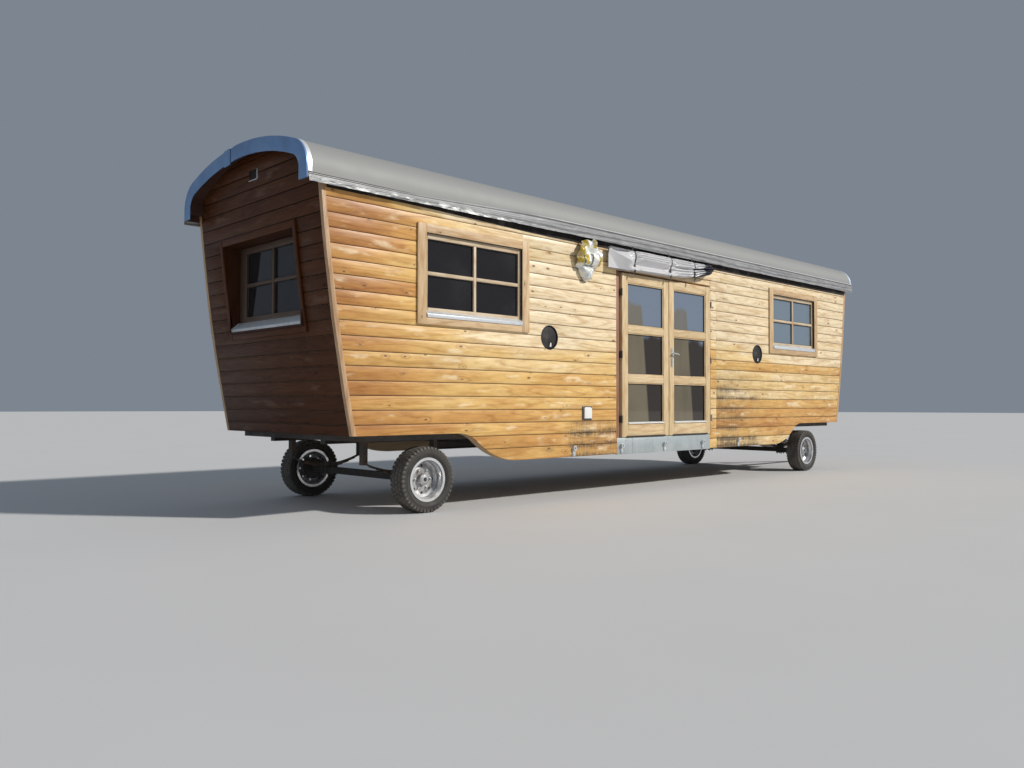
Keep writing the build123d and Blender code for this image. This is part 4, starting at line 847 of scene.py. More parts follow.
def add_seals(bm, place, opening):
    """Dark strips of painted shade on three faces of a window's reveal."""
    x0, x1, z0, z1 = opening
    front, back = -BOARD_FACE - CASING_THICKNESS + 0.003, -FRAME_FACE - 0.0002
    for low, high in (
        ((x0, front, z0 + 0.055), (x0 + 0.004, back, z1)),
        ((x1 - 0.004, front, z0 + 0.055), (x1, back, z1)),
        ((x0 + 0.0042, front, z1 - 0.004), (x1 - 0.0042, back, z1)),
    ):
        put(bm, block(low, high, 0.001, 1), place)


def profile_bar(outline, start, end):
    """A bar along X whose section is an outline of (y, z) points."""
    bm = bmesh.new()
    face = bm.faces.new([bm.verts.new((start, y, z)) for y, z in outline])
    made = bmesh.ops.extrude_face_region(bm, geom=[face])["geom"]
    far_end = [g for g in made if isinstance(g, bmesh.types.BMVert)]
    bmesh.ops.translate(bm, vec=(end - start, 0, 0), verts=far_end)
    face_outwards(bm)
    return bm


def add_sill(bm, place, centre, width, outline, stop_rise=0.005):
    """A folded metal sill with a turned-down lip, and an upstand at each end."""
    half = width / 2 - 0.001
    put(bm, ease(profile_bar(outline, centre - half, centre + half), 0.0016, 2, 20), place)
    raised = [(y, z + stop_rise) if z > outline[0][1] + 0.001 else (y, z) for y, z in outline]
    for start, end in ((-half, -half + 0.006), (half - 0.006, half)):
        put(bm, ease(profile_bar(raised, centre + start, centre + end), 0.0014, 1, 20), place)


def windows():
    casings, sashes, end_sashes, end_casings, beads, linings, sills = (bmesh.new() for _ in range(7))
    low = LIGHT_Z - LIGHT.y / 2
    lip = BOARD_FACE + CASING_THICKNESS
    side_sill = [(-FRAME_FACE, low), (-lip, low), (-lip, low - SILL_DROP), (-lip - SILL_LIP, low - SILL_DROP),
                 (-lip - SILL_LIP, low + SILL_NOSE), (-FRAME_FACE, low + SILL_FALL)]
    end_low = END_LIGHT_Z - END_LIGHT.y / 2
    sash_low = END_GLAZED_Z - END_SASH.y / 2
    end_lip = end_x(end_low) + CASING_THICKNESS + SILL_LIP
    end_back = -END_FRAME_FACE + SASH_PROUD
    end_sill = [(end_back, end_low), (-end_lip, end_low), (-end_lip, end_low + END_SILL_NOSE),
                (-END_FRAME_FACE, end_low + END_SILL_FALL), (-END_FRAME_FACE, sash_low), (end_back, sash_low)]
    for place in (RIGHT, LEFT):
        for x in (-WINDOW_X, WINDOW_X):
            hole = rect(x, LIGHT_Z, LIGHT + Vector((2 * REBATE, 2 * REBATE)))
            glazed = rect(x, GLAZED_Z, GLAZED)
            add_casing(casings, place, rect(x, CASING_Z, CASING), rect(x, LIGHT_Z, LIGHT), BOARD_FACE)
            add_frame(sashes, place, hole, glazed, -FRAME_FACE, -FRAME_FACE + FRAME_DEPTH)
            add_bars(sashes, beads, place, glazed, -FRAME_FACE)
            add_seals(beads, place, rect(x, LIGHT_Z, LIGHT))
            add_sill(sills, place, x, LIGHT.x, side_sill)
    for place in (FRONT, REAR):
        opening, sash = rect(0, END_LIGHT_Z, END_LIGHT), rect(0, END_GLAZED_Z, END_SASH)
        glazed = rect(0, END_GLAZED_Z, END_GLAZED)
        add_casing(end_casings, place, rect(0, END_CASING_Z, END_CASING), opening, END_FOOT_X, leaned)
        add_frame(end_sashes, place, opening, sash, end_back, -END_FRAME_FACE + FRAME_DEPTH)
        add_frame(end_sashes, place, sash, glazed, -END_FRAME_FACE, -END_FRAME_FACE + 0.028)
        add_frame(end_sashes, place, sash, glazed, -END_FRAME_FACE + 0.0285, -END_FRAME_FACE + FRAME_DEPTH)
        add_bars(end_sashes, beads, place, glazed, -END_FRAME_FACE)
        add_sill(sills, place, 0, END_LIGHT.x, end_sill)
        add_lining(linings, place)
    piece(casings, "window_surrounds", casing_wood, ["window_casings"], planks=True)
    piece(end_casings, "end_window_surrounds", end_casing_wood, planks=True)
    piece(sashes, "window_sashes", sash_wood, ["window_frames"], planks=True)
    piece(end_sashes, "end_window_sashes", end_sash_wood, planks=True)
    # Glazing beads, and the strips of painted shade in the reveals.
    piece(beads, "window_gaskets_and_reveal_shade", gasket)
    piece(linings, "end_window_linings", lining_wood, ["end_reveals"], planks=True)
    piece(sills, "window_drip_sills", sill_metal, ["window_sills"])


def add_lining(bm, place):
    """Four boards that line the deep opening of an end window, cut to the wall's lean outside."""
    half_x, half_z = END_LIGHT.x / 2, END_LIGHT.y / 2
    inner = -(END_FRAME_FACE - FRAME_DEPTH)

    def trimmed(point):
        outside = point.y < -END_FRAME_FACE
        return Vector((point.x, min(point.y, -end_x(point.z)) if outside else point.y, point.z))

    for side in (-1, 1):
        x = sorted((side * half_x, side * (half_x + REVEAL)))
        low, high = END_LIGHT_Z - half_z - REVEAL, END_LIGHT_Z + half_z + REVEAL
        part = sliced(cube_between((x[0], -END_FRAME_FACE - 0.1, low), (x[1], inner, high)), 2, 8)
        put(bm, part, place, trimmed)
        z = sorted((END_LIGHT_Z + side * half_z, END_LIGHT_Z + side * (half_z + REVEAL)))
        part = cube_between((-half_x, -END_FRAME_FACE - 0.1, z[0]), (half_x, inner, z[1]))
        put(bm, part, place, trimmed)


windows()


# Doors: recessed frame, framed leaves with weather bars, hinges and handle

def door_frame():
    """Jambs, head and threshold, with the raised edge that shows at the rear jamb and over the head."""
    jambs, head = bmesh.new(), bmesh.new()
    for bm, x0, x1, front, z0, z1 in (
        (jambs, -FRAME_X, -REAR_STOP_X - FRAME_JOINT, RAISED_Y, FRAME_FOOT_Z, FRAME_TOP_Z),
        (jambs, -REAR_STOP_X, -CLEAR_X, STOP_Y, FRAME_FOOT_Z, STOP_TOP_Z),
        (jambs, CLEAR_X, FRONT_STOP_X, STOP_Y, FRAME_FOOT_Z, STOP_TOP_Z),
        (head, FRONT_STOP_X + FRAME_JOINT, FRAME_X, PLAIN_Y, FRAME_FOOT_Z, FRAME_TOP_Z),
        (head, -REAR_STOP_X, FRONT_STOP_X, RAISED_Y, STOP_TOP_Z + FRAME_JOINT, FRAME_TOP_Z),
        (jambs, -CLEAR_X, CLEAR_X, STOP_Y, CLEAR_TOP_Z, STOP_TOP_Z),
        (jambs, -CLEAR_X, CLEAR_X, STOP_Y, FRAME_FOOT_Z, THRESHOLD_Z),
    ):
        add_block(bm, (x0, front, z0), (x1, FRAME_BACK_Y, z1))
    # The jambs, stops and threshold take the rosy tones, darkened as painted shade.
    piece(jambs, "doorway_frame", rosy_wood_in_shade, ["door_frame"], planks=True)
    piece(head, "doorway_head", pale_larch, planks=True)


def door_leaf(name, hand):
    """Stiles, four rails and three glazed openings; hand is -1 at the rear and 1 at the front."""
    joinery, gaskets, weather_bar = bmesh.new(), bmesh.new(), bmesh.new()
    front, back = -LEAF_FACE, -LEAF_FACE + LEAF_DEPTH
    for a, b in ((LEAF_MEET, PANE_IN), (PANE_OUT, LEAF_OUT)):
        x0, x1 = sorted((hand * a, hand * b))
        add_block(joinery, (x0, front, LEAF_LOW), (x1, back, LEAF_HIGH), 0.005, 3)
    x0, x1 = sorted((hand * PANE_IN, hand * PANE_OUT))
    edges = [LEAF_LOW, *[z for row in PANE_ROWS for z in row], LEAF_HIGH]
    for low, high in zip(edges[::2], edges[1::2]):
        add_block(joinery, (x0 + 0.0006, front + 0.0008, low), (x1 - 0.0006, back, high), 0.004, 3)
    for low, high in PANE_ROWS:
        for u0, u1, v0, v1 in ((x0, x0 + BEADING, low, high), (x1 - BEADING, x1, low, high),
                               (x0, x1, low, low + BEADING), (x0, x1, high - BEADING, high)):
            add_block(joinery, (u0, front + 0.008, v0), (u1, front + 0.024, v1), 0.005, 3)
        bead = (x0 + BEADING, x1 - BEADING, low + BEADING, high - BEADING)
        add_bead(gaskets, RIGHT, *bead, front + 0.018, 0.004)
    sill = PANE_ROWS[0][0]
    drip = cube_between((x0 + 0.002, front - 0.016, sill - 0.004), (x1 - 0.002, front + 0.02, sill + 0.02))
    for vert in drip.verts:
        if vert.co.y < front and vert.co.z > sill:
            vert.co.z = sill + 0.008
    put(weather_bar, ease(drip, 0.002, 2, 20), RIGHT)
    foot = LEAF_LOW + 0.002
    add_block(gaskets, (x0 - 0.03, front - 0.01, foot), (x1 + 0.03, front + 0.004, foot + 0.014), 0.004)
    piece(joinery, f"{name}_joinery", leaf_wood, [f"{name}_leaf"], name, planks=True)
    piece(gaskets, f"{name}_gaskets", gasket, body=name)
    piece(weather_bar, f"{name}_weather_bar", bright_trim, body=name)


def door_hinges():
    """Three-knuckle hinges whose plates run back to the frame, with domed pin caps."""
    # The rear hinges take the dark finish as painted shade, for the shaded gap at the rear jamb where they
    # sit.
    for hand, label, finish in ((-1, "rear_hinges", dark_steel), (1, "front_hinges", fitting_steel)):
        bm, x = bmesh.new(), hand * HINGE_X
        plate = x + hand * 0.002
        for z in HINGE_HEIGHTS:
            for step in range(3):
                low = z - 1.5 * KNUCKLE + step * KNUCKLE + 0.0008
                add_rod(bm, (x, HINGE_Y, low), (x, HINGE_Y, low + KNUCKLE - 0.0016), 0.008, rounded=0.0012)
            for start, end in ((z - 0.044, z - 0.05), (z + 0.044, z + 0.05)):
                add_rod(bm, (x, HINGE_Y, start), (x, HINGE_Y, end), 0.0055, end_radius=0.003)
            low, high = (plate - 0.002, HINGE_Y + 0.005, z - 0.043), (plate + 0.002, STOP_Y, z + 0.043)
            add_block(bm, low, high, 0.0008, 1)
        made = piece(bm, label, finish)
    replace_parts(made, "door_hinges")


def door_handle():
    """A long plate with a lever that returns towards the door, and a keyhole cylinder below it."""
    x, face = HANDLE_X, -LEAF_FACE
    bm = bmesh.new()
    add_block(bm, (x - 0.017, face - 0.008, 1.59), (x + 0.017, face, 1.84), 0.003, 3)
    for z, sunk, proud, radius, sides, rounded in (
        (LEVER_Z, 0.006, 0.02, 0.0145, 32, 0.003),
        (LEVER_Z, 0.016, 0.05, 0.0095, 24, 0.0),
        (LOCK_Z, 0.006, 0.016, 0.0085, 24, 0.001),
        (1.61, 0.0075, 0.0095, 0.0045, 12, 0.0),
        (1.82, 0.0075, 0.0095, 0.0045, 12, 0.0),
    ):
        add_rod(bm, (x, face - sunk, z), (x, face - proud, z), radius, sides, rounded=rounded)
    low, high = (x - 0.012, face - 0.054, LEVER_Z - 0.01), (x + LEVER_REACH, face - 0.038, LEVER_Z + 0.01)

    def swept(point):
        along = max(0.0, (point.x - x) / LEVER_REACH)
        return Vector((point.x, point.y + 0.006 * along**3, point.z - 0.012 * along**2))

    put(bm, sliced(block(low, high, 0.0065, 3), 0, 10), RIGHT, swept)
    piece(bm, "handle_set", fitting_steel, ["door_handle"], "front_door")


door_frame()
door_leaf("rear_door", -1)
door_leaf("front_door", 1)
door_hinges()
door_handle()


# Roof

SHOULDER_ANGLE = asin((ROOF_HALF_WIDTH - SHOULDER_RADIUS) / (ARCH_RADIUS - SHOULDER_RADIUS))
ARCH_GIRTH = ARCH_RADIUS * SHOULDER_ANGLE
ARCH_CENTRE_Z = RIDGE_Z - ARCH_RADIUS
SHOULDER_Z = ARCH_CENTRE_Z + (ARCH_RADIUS - SHOULDER_RADIUS) * cos(SHOULDER_ANGLE)
SHOULDER_GIRTH = SHOULDER_RADIUS * (pi / 2 - SHOULDER_ANGLE)
HALF_GIRTH = ARCH_GIRTH + SHOULDER_GIRTH + SHOULDER_Z - EAVE_Z - 0.05


def roof_point(girth, lift):
    """The cross-section's point (y, z) at a girth from the ridge, lifted off the surface."""
    side, girth = (-1 if girth < 0 else 1), abs(girth)
    if girth < ARCH_GIRTH:
        angle = girth / ARCH_RADIUS
        return side * (ARCH_RADIUS + lift) * sin(angle), ARCH_CENTRE_Z + (ARCH_RADIUS + lift) * cos(angle)
    girth -= ARCH_GIRTH
    if girth < SHOULDER_GIRTH:
        angle, reach = SHOULDER_ANGLE + girth / SHOULDER_RADIUS, SHOULDER_RADIUS + lift
        out = ROOF_HALF_WIDTH - SHOULDER_RADIUS + reach * sin(angle)
        return side * out, SHOULDER_Z + reach * cos(angle)
    return side * (ROOF_HALF_WIDTH + lift), SHOULDER_Z - (girth - SHOULDER_GIRTH)


def roof_membrane():
    """One sheet over the arch, slack enough to show faint long waves."""
    def laid(u, v):
        x, girth = u * ROOF_HALF_LENGTH, v * HALF_GIRTH
        wave, fine = ripple(x * 0.9, girth * 1.7, 3.0) * 0.0008, ripple(x * 4.0, girth * 7.0, 8.0) * 0.0006
        return Vector((MIDDLE + x, *roof_point(girth, -SHEET + wave + fine)))

    bm = shaped_grid(260, 96, laid)
    bmesh.ops.solidify(bm, geom=bm.faces[:], thickness=SHEET)
    piece(bm, "roof_sheet", membrane, ["roof_membrane"], smooth=50)


def eave_flap(side, label):
    """The roof sheet's spare edge: crumpled at the rear, and farther on a fold, brightened by a painted
    highlight, over long loose pleats.
    """
    def hung(u, v):
        x, down = u * ROOF_HALF_LENGTH, (1 - v) / 2
        drift = ripple(x * 0.35, side * 4.0, 0.5)
        bunch = ripple(x * 1.3, side * 7.0, down * 2.0)
        spot = Vector((x * 2.2, down * 3.0 + drift, side * 3.0))
        crumple = noise.ridged_multi_fractal(spot, 0.9, 2.1, 3, 1.0, 2.0)
        crisp = ripple(x * 9.0, down * 6.0, side * 9.0)
        pleat = sin(tau * (2.6 * down + 1.1 * drift + 0.35 * bunch))
        forward = smooth_step(x, -3.4, -2.0)
        loose = smooth_step(down, 0.42 - 0.2 * forward, 0.6 - 0.2 * forward)
        out = 0.004 + (0.004 + 0.01 * forward) * near(down, 0.08, 0.06) - 0.004 * near(down, 0.2, 0.04)
        out += loose * (0.008 + 0.008 * down + (0.002 + 0.005 * forward) * pleat + 0.003 * crisp)
        out += loose * (0.008 - 0.005 * forward) * (crumple - 0.9)
        top = 0.042 + 0.07 * smooth_step(x, -4.6, -2.2)
        drop = top + 0.038 + 0.006 * bunch + 0.004 * ripple(x * 4.7, side, 1.0)
        y = ROOF_HALF_WIDTH + max(min(out, 0.038), 0.001)
        return Vector((MIDDLE + x, side * y, EAVE_Z + max(top - drop * down + 0.004 * crisp * loose, -0.038)))

    bm = shaped_grid(640, 38, hung)
    thicken(bm, 0.0012)
    flap = piece(bm, f"eave_flap_{label}", eave_film, smooth=60)
    return flap


def eave_mesh(side, label):
    """A dark strip of painted shade that closes the gap between the top board and the eave; it narrows to the
    rear.
    """
    y0, y1 = sorted((side * (BOARD_FACE + 0.0004), side * (BOARD_FACE + 0.007)))
    low, high = (MIDDLE - SHADE_STRIP_HALF, y0, EAVE_Z - 0.1), (MIDDLE + SHADE_STRIP_HALF, y1, EAVE_Z - 0.012)
    bm = sliced(block(low, high, 0.0012, 1), 0, 24)
    for vert in bm.verts:
        if vert.co.z < EAVE_Z - 0.05:
            vert.co.z += 0.05 * smooth_step(MIDDLE - vert.co.x, 2.0, 4.6)
    piece(bm, f"eave_mesh_{label}", shade_sheet)


def gable_strip(y0, y1, top=0.0, foot=0.0, out=0.0):
    """A stretch of the rear gable's edge sheet between two places across, grown at its top and foot."""
    bm = welded("gable_fascias")
    for place, normal in (((0, y0, 0), (0, -1, 0)), ((0, y1, 0), (0, 1, 0)), ((0, 0, 0), (1, 0, 0))):
        bmesh.ops.bisect_plane(bm, geom=everything(bm), plane_co=place, plane_no=normal, clear_outer=True)
    bmesh.ops.holes_fill(bm, edges=[e for e in bm.edges if e.is_boundary])
    middle = sum(v.co.z for v in bm.verts) / len(bm.verts)
    for vert in bm.verts:
        vert.co += Vector((out, 0, top if vert.co.z > middle else -foot))
    face_outwards(bm)
    return bm


def fascias():
    """The gable's edge sheets, a cover over the rear one's joint left of the ridge, and bright caps."""
    bm = ease(welded("gable_fascias"), 0.0025, 2)
    piece(bm, "gable_sheets", fascia_metal, ["gable_fascias"])
    bm = ease(gable_strip(LAP_Y, LAP_Y + COVER_WIDTH, 0.0055, 0.018, -COVER_PROUD), 0.0015, 2)
    piece(bm, "gable_joint_cover", fascia_metal)
    # A dark strip beside the cover's edge: painted shade at the lap.
    bm = gable_strip(LAP_Y - 0.009, LAP_Y - 0.0005, 0.0008, 0.0008, -0.0008)
    piece(bm, "gable_joint_shade", gasket)
    caps = bmesh.new()
    for end in (-1, 1):
        def folded(u, v):
            x = ROOF_HALF_LENGTH - CAP_HALF + CAP_HALF * u
            return Vector((MIDDLE + end * x, *roof_point(v * (HALF_GIRTH - 0.004), -0.002)))

        cap = shaped_grid(2, 96, folded)
        bmesh.ops.solidify(cap, geom=cap.faces[:], thickness=0.002)
        put(caps, cap)
    piece(caps, "gable_caps", sill_metal, smooth=50)


roof_membrane()
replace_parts(eave_flap(-1, "right"), "eave_trims")
eave_mesh(-1, "right")
eave_flap(1, "left")
eave_mesh(1, "left")
fascias()


# Sill plate, lugs, ports, inlet, vent

LUG_PLACES = (-1.876, -0.993, -0.095, 0.792, 1.727)
SILL_BOLTS, SILL_BOLT_Z, SILL_FACE = (-0.9, -0.45, 0.0, 0.45, 0.9), 0.64, -1.2535
PORT_X, PORT_Z = 2.285, 1.85
INLET_X, INLET_Z = -1.64, 0.985


def sill_plate():
    """The folded plate under the doors with its bolts, and the dark joint between its two lengths."""
    bm = ease(welded("door_sill_plate"), 0.0012)
    for x in SILL_BOLTS:
        for proud, radius, sides, rounded in ((0.004, 0.008, 6, 0.001), (0.0013, 0.012, 20, 0.0)):
            start, end = (x, SILL_FACE, SILL_BOLT_Z), (x, SILL_FACE - proud, SILL_BOLT_Z)
            add_rod(bm, start, end, radius, sides, rounded=rounded)
    piece(bm, "sill_plate", zinc, ["door_sill_plate"])
    bm = bmesh.new()
    add_block(bm, (-0.7613, SILL_FACE - 0.0014, 0.476), (-0.7587, SILL_FACE, 0.672), 0.0004, 1)
    piece(bm, "sill_plate_joint", gasket)


def lugs():
    """Hang-in lugs for steps: welds down both sides and a bolt; those on the plate stand farther out."""
    bm = ease(welded("step_hooks"), 0.0012)
    for x in LUG_PLACES:
        face = -1.2551 if abs(x) < 1 else -1.2511
        for weld in (x - 0.021, x + 0.021):
            add_rod(bm, (weld, face - 0.003, 0.487), (weld, face - 0.003, 0.552), 0.004, 8)
        add_rod(bm, (x, face - 0.0105, 0.503), (x, face - 0.019, 0.503), 0.011, 6, rounded=0.0012)
    piece(bm, "hang_in_lugs", lug_steel, ["step_hooks"])


def ports():
    """Round liners, a flap on a middle rib in each, and a pale tab low on each flap as a painted highlight.
    """
    piece(ease(welded("round_ports"), 0.002), "port_liners", black_plastic, ["round_ports"])
    flaps, glint_tabs = bmesh.new(), bmesh.new()
    for x in (-PORT_X, PORT_X):
        add_rod(flaps, (x, -1.232, PORT_Z), (x, -1.243, PORT_Z), 0.1285, 72, end_radius=0.12, rounded=0.002)
        add_rod(flaps, (x, -1.24, PORT_Z - 0.112), (x, -1.24, PORT_Z + 0.112), 0.006, rounded=0.002)
        # A pale tab low and right of the middle: a painted highlight.
        tab = block((x + 0.004, -1.249, PORT_Z - 0.104), (x + 0.034, -1.242, PORT_Z - 0.058), 0.003, 3)
        for vert in tab.verts:
            if vert.co.z > PORT_Z - 0.07:
                vert.co.x += 0.5 * (x + 0.03 - vert.co.x)
        put(glint_tabs, tab, RIGHT)
    piece(flaps, "port_flaps", port_plastic)
    piece(glint_tabs, "port_flap_glints", bright_trim)


def power_inlet():
    """A white box with a hinged cover and a finger grip, on a grey frame."""
    x, z, face = INLET_X, INLET_Z, -BOARD_FACE
    bm = bmesh.new()
    add_block(bm, (x - 0.085, face - 0.0095, z - 0.0825), (x + 0.085, face, z + 0.0825), 0.003, 3)
    piece(bm, "power_inlet_frame", trim_plastic)
    bm, hinge_y, hinge_z = bmesh.new(), face - 0.0148, z + 0.0655
    add_block(bm, (x - 0.066, face - 0.028, z - 0.0635), (x + 0.066, face - 0.0098, z + 0.0635), 0.005, 4)
    add_rod(bm, (x - 0.05, hinge_y, hinge_z), (x + 0.05, hinge_y, hinge_z), 0.005)
    add_block(bm, (x - 0.014, face - 0.0285, z - 0.062), (x + 0.014, face - 0.024, z - 0.049), 0.002)
    piece(bm, "power_inlet", white_plastic, ["inlet_box"])


def gable_vent():
    """The folded lip along the bottom and one side of the opening high in the rear gable."""
    lip, vent_shade, face = bmesh.new(), bmesh.new(), -end_x(3.38)
    add_block(lip, (-0.062, face - 0.0085, 3.326), (0.112, face + 0.016, 3.332), 0.0015, place=REAR)
    add_block(lip, (0.108, face - 0.0105, 3.333), (0.113, face + 0.016, 3.431), 0.0015, place=REAR)
    piece(lip, "vent_lip", sill_metal)
    # A dark sheet across the opening: painted shade inside the vent.
    add_block(vent_shade, (-0.061, face + 0.011, 3.333), (0.1075, face + 0.015, 3.4305), 0.001, place=REAR)
    piece(vent_shade, "vent_shade_sheet", shade_sheet)


sill_plate()
lugs()
ports()
power_inlet()
gable_vent()


# Wheels

TREAD_PITCHES = 44
# Half of the tyre's section, from the bead out: across from the middle, and radius
TYRE_PROFILE = ((0.068, 0.206), (0.084, 0.206), (0.0845, 0.224), (0.094, 0.236), (0.1025, 0.25),
                (0.1068, 0.262), (0.1072, 0.272), (0.1045, 0.274), (0.1035, 0.29), (0.0985, 0.306),
                (0.0915, 0.317), (0.08, 0.3235))
# Rows of tread blocks: place across, width, length, and how far round each row is shifted, in pitches
TREAD_ROWS = ((-0.048, 0.038, 0.043, 0.3), (0, 0.042, 0.041, 0.7), (0.048, 0.038, 0.043, 0.3))
TREAD_FOOT, TREAD_RADIUS, LUG_RADIUS = 0.316, 0.3317, 0.3312
NUTS, NUT_RING = 6, 0.097


def spun(bm, geom, angle, steps, **settings):
    bmesh.ops.spin(bm, geom=geom, cent=(0, 0, 0), axis=(0, 1, 0), angle=angle, steps=steps, **settings)


def tyre(name, body, centre):
    """A tyre turned from its section, with tread blocks and shoulder lugs stepped round it."""
    bm = bmesh.new()
    profile = [*TYRE_PROFILE, *[(-y, r) for y, r in reversed(TYRE_PROFILE)]]
    verts = [bm.verts.new((0, y, r)) for y, r in profile]
    edges = [bm.edges.new(pair) for pair in zip(verts, verts[1:])]
    spun(bm, verts + edges, tau, 96, use_merge=True)
    face_outwards(bm)
    tread = bmesh.new()
    for y, width, length, lag in TREAD_ROWS:
        low, high = (-length / 2, y - width / 2, TREAD_FOOT), (length / 2, y + width / 2, TREAD_RADIUS)
        put(tread, block(low, high, 0.0018, 1), Matrix.Rotation(lag * tau / TREAD_PITCHES, 4, "Y"))
    for outer in (-1, 1):
        y0, y1 = sorted((outer * 0.074, outer * 0.1035))
        lug = block((-0.0165, y0, 0.286), (0.0165, y1, LUG_RADIUS), 0.0045)
        for vert in lug.verts:
            if abs(vert.co.y) > 0.09:
                vert.co.z -= 0.45 * (abs(vert.co.y) - 0.09)
        put(tread, lug)
    repeats = TREAD_PITCHES - 1
    spun(tread, everything(tread), tau * repeats / TREAD_PITCHES, repeats, use_duplicate=True)
    put(bm, tread)
    bmesh.ops.translate(bm, vec=centre, verts=bm.verts)
    piece(bm, f"{name}_tyre_and_tread", tyre_rubber, [f"{name}_tyre"], body, smooth=40)


def wheel_trim(name, body, centre, side):
    """Wheel nuts in a ring, a bright grease cap with a dark middle, and the valve."""
    bm, dark = bmesh.new(), bmesh.new()
    face = Matrix.Translation(centre) @ Matrix.Rotation(0 if side < 0 else pi, 4, "Z")
    for step in range(NUTS):
        turn = face @ Matrix.Rotation(tau * (step + 0.5) / NUTS, 4, "Y")
        add_rod(bm, (0, 0.012, NUT_RING), (0, -0.014, NUT_RING), 0.0125, 6, 0.0115, 0.002, turn)
        add_rod(bm, (0, 0.0, NUT_RING), (0, -0.021, NUT_RING), 0.006, 12, place=turn)
    add_rod(bm, (0, -0.038, 0), (0, -0.048, 0), 0.042, 40, 0.037, 0.003, face)
    add_rod(dark, (0, -0.044, 0), (0, -0.0486, 0), 0.021, 32, rounded=0.001, place=face)
    add_rod(bm, (0.155, -0.012, 0.06), (0.15, -0.05, 0.058), 0.005, 10, 0.004, place=face)
    piece(bm, f"{name}_nuts_and_cap", fitting_steel, body=body, smooth=40)
    piece(dark, f"{name}_cap_centre", gasket, body=body, smooth=40)


def spring_bolts(name, body, end):
    """U-bolts over both springs of an axle, with the plate and nuts below, and the hangers' bolts."""
    bm, axle = bmesh.new(), end * AXLE_X
    for middle in (-SPRING_Y, SPRING_Y):
        for x in (axle - U_BOLT_X, axle + U_BOLT_X):
            for y in (middle - U_BOLT_Y, middle + U_BOLT_Y):
                add_rod(bm, (x, y, 0.262), (x, y, 0.422), 0.006, 12)
                add_rod(bm, (x, y, 0.2695), (x, y, 0.2805), 0.0115, 6, rounded=0.001)
            add_rod(bm, (x, middle - 0.0425, 0.425), (x, middle + 0.0425, 0.425), 0.006, 12, rounded=0.002)
        add_block(bm, (axle - 0.056, middle - 0.052, 0.281), (axle + 0.056, middle + 0.052, 0.2965), 0.0025)
        for x in (axle - SPRING_HALF, axle + SPRING_HALF):
            add_rod(bm, (x, middle - 0.05, 0.4935), (x, middle + 0.05, 0.4935), 0.0125, 6, rounded=0.0015)
    piece(bm, f"{name}_spring_bolts", dark_steel, body=body, smooth=40)


spring_bolts("rear", "wagon_body", -1)
spring_bolts("front", "front_bogie", 1)
for end in ("rear", "front"):
    for label, side in (("right", -1), ("left", 1)):
        name = f"{end}_{label}"
        low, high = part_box(f"{name}_rim")
        tyre(name, f"{name}_wheel", (low + high) / 2)
        wheel_trim(name, f"{name}_wheel", (low + high) / 2, side)


# Rolled awning over the doors

AWNING_START, AWNING_END = -1.3, 0.78
AWNING_Y, AWNING_TOP = -1.335, 3.022
AWNING_TIES = (-0.83, -0.07, 0.46)
TIE_WIDTH = 0.022
FOLD_END = -0.88


def through(x, points):
    """Straight runs between (x, value) points, level beyond them."""
    if x <= points[0][0]:
        return points[0][1]
    for (x0, a), (x1, b) in zip(points, points[1:]):
        if x <= x1:
            return a + (b - a) * (x - x0) / (x1 - x0)
    return points[-1][1]


# How far the roll's front stands out, by the share of its height from the top down
BAGGED_FRONT = ((0, 0.004), (0.05, 0.04), (0.1, 0.05), (0.125, 0.034), (0.15, 0.054), (0.21, 0.056),
                (0.235, 0.038), (0.26, 0.058), (0.33, 0.055), (0.36, 0.043), (0.39, 0.05), (0.7, -0.018),
                (0.78, -0.012), (0.86, 0.03), (0.94, 0.038), (1, 0.002))
PLEATED_FRONT = ((0, 0.004), (0.06, 0.042), (0.11, 0.05), (0.14, 0.03), (0.18, 0.052), (0.24, 0.05),
                 (0.27, 0.03), (0.31, 0.054), (0.4, 0.05), (0.5, -0.004), (0.56, 0.034), (0.62, 0.042),
                 (0.66, 0.012), (0.72, 0.044), (0.8, 0.04), (0.83, 0.016), (0.88, 0.04), (0.94, 0.03),
                 (1, 0.0))


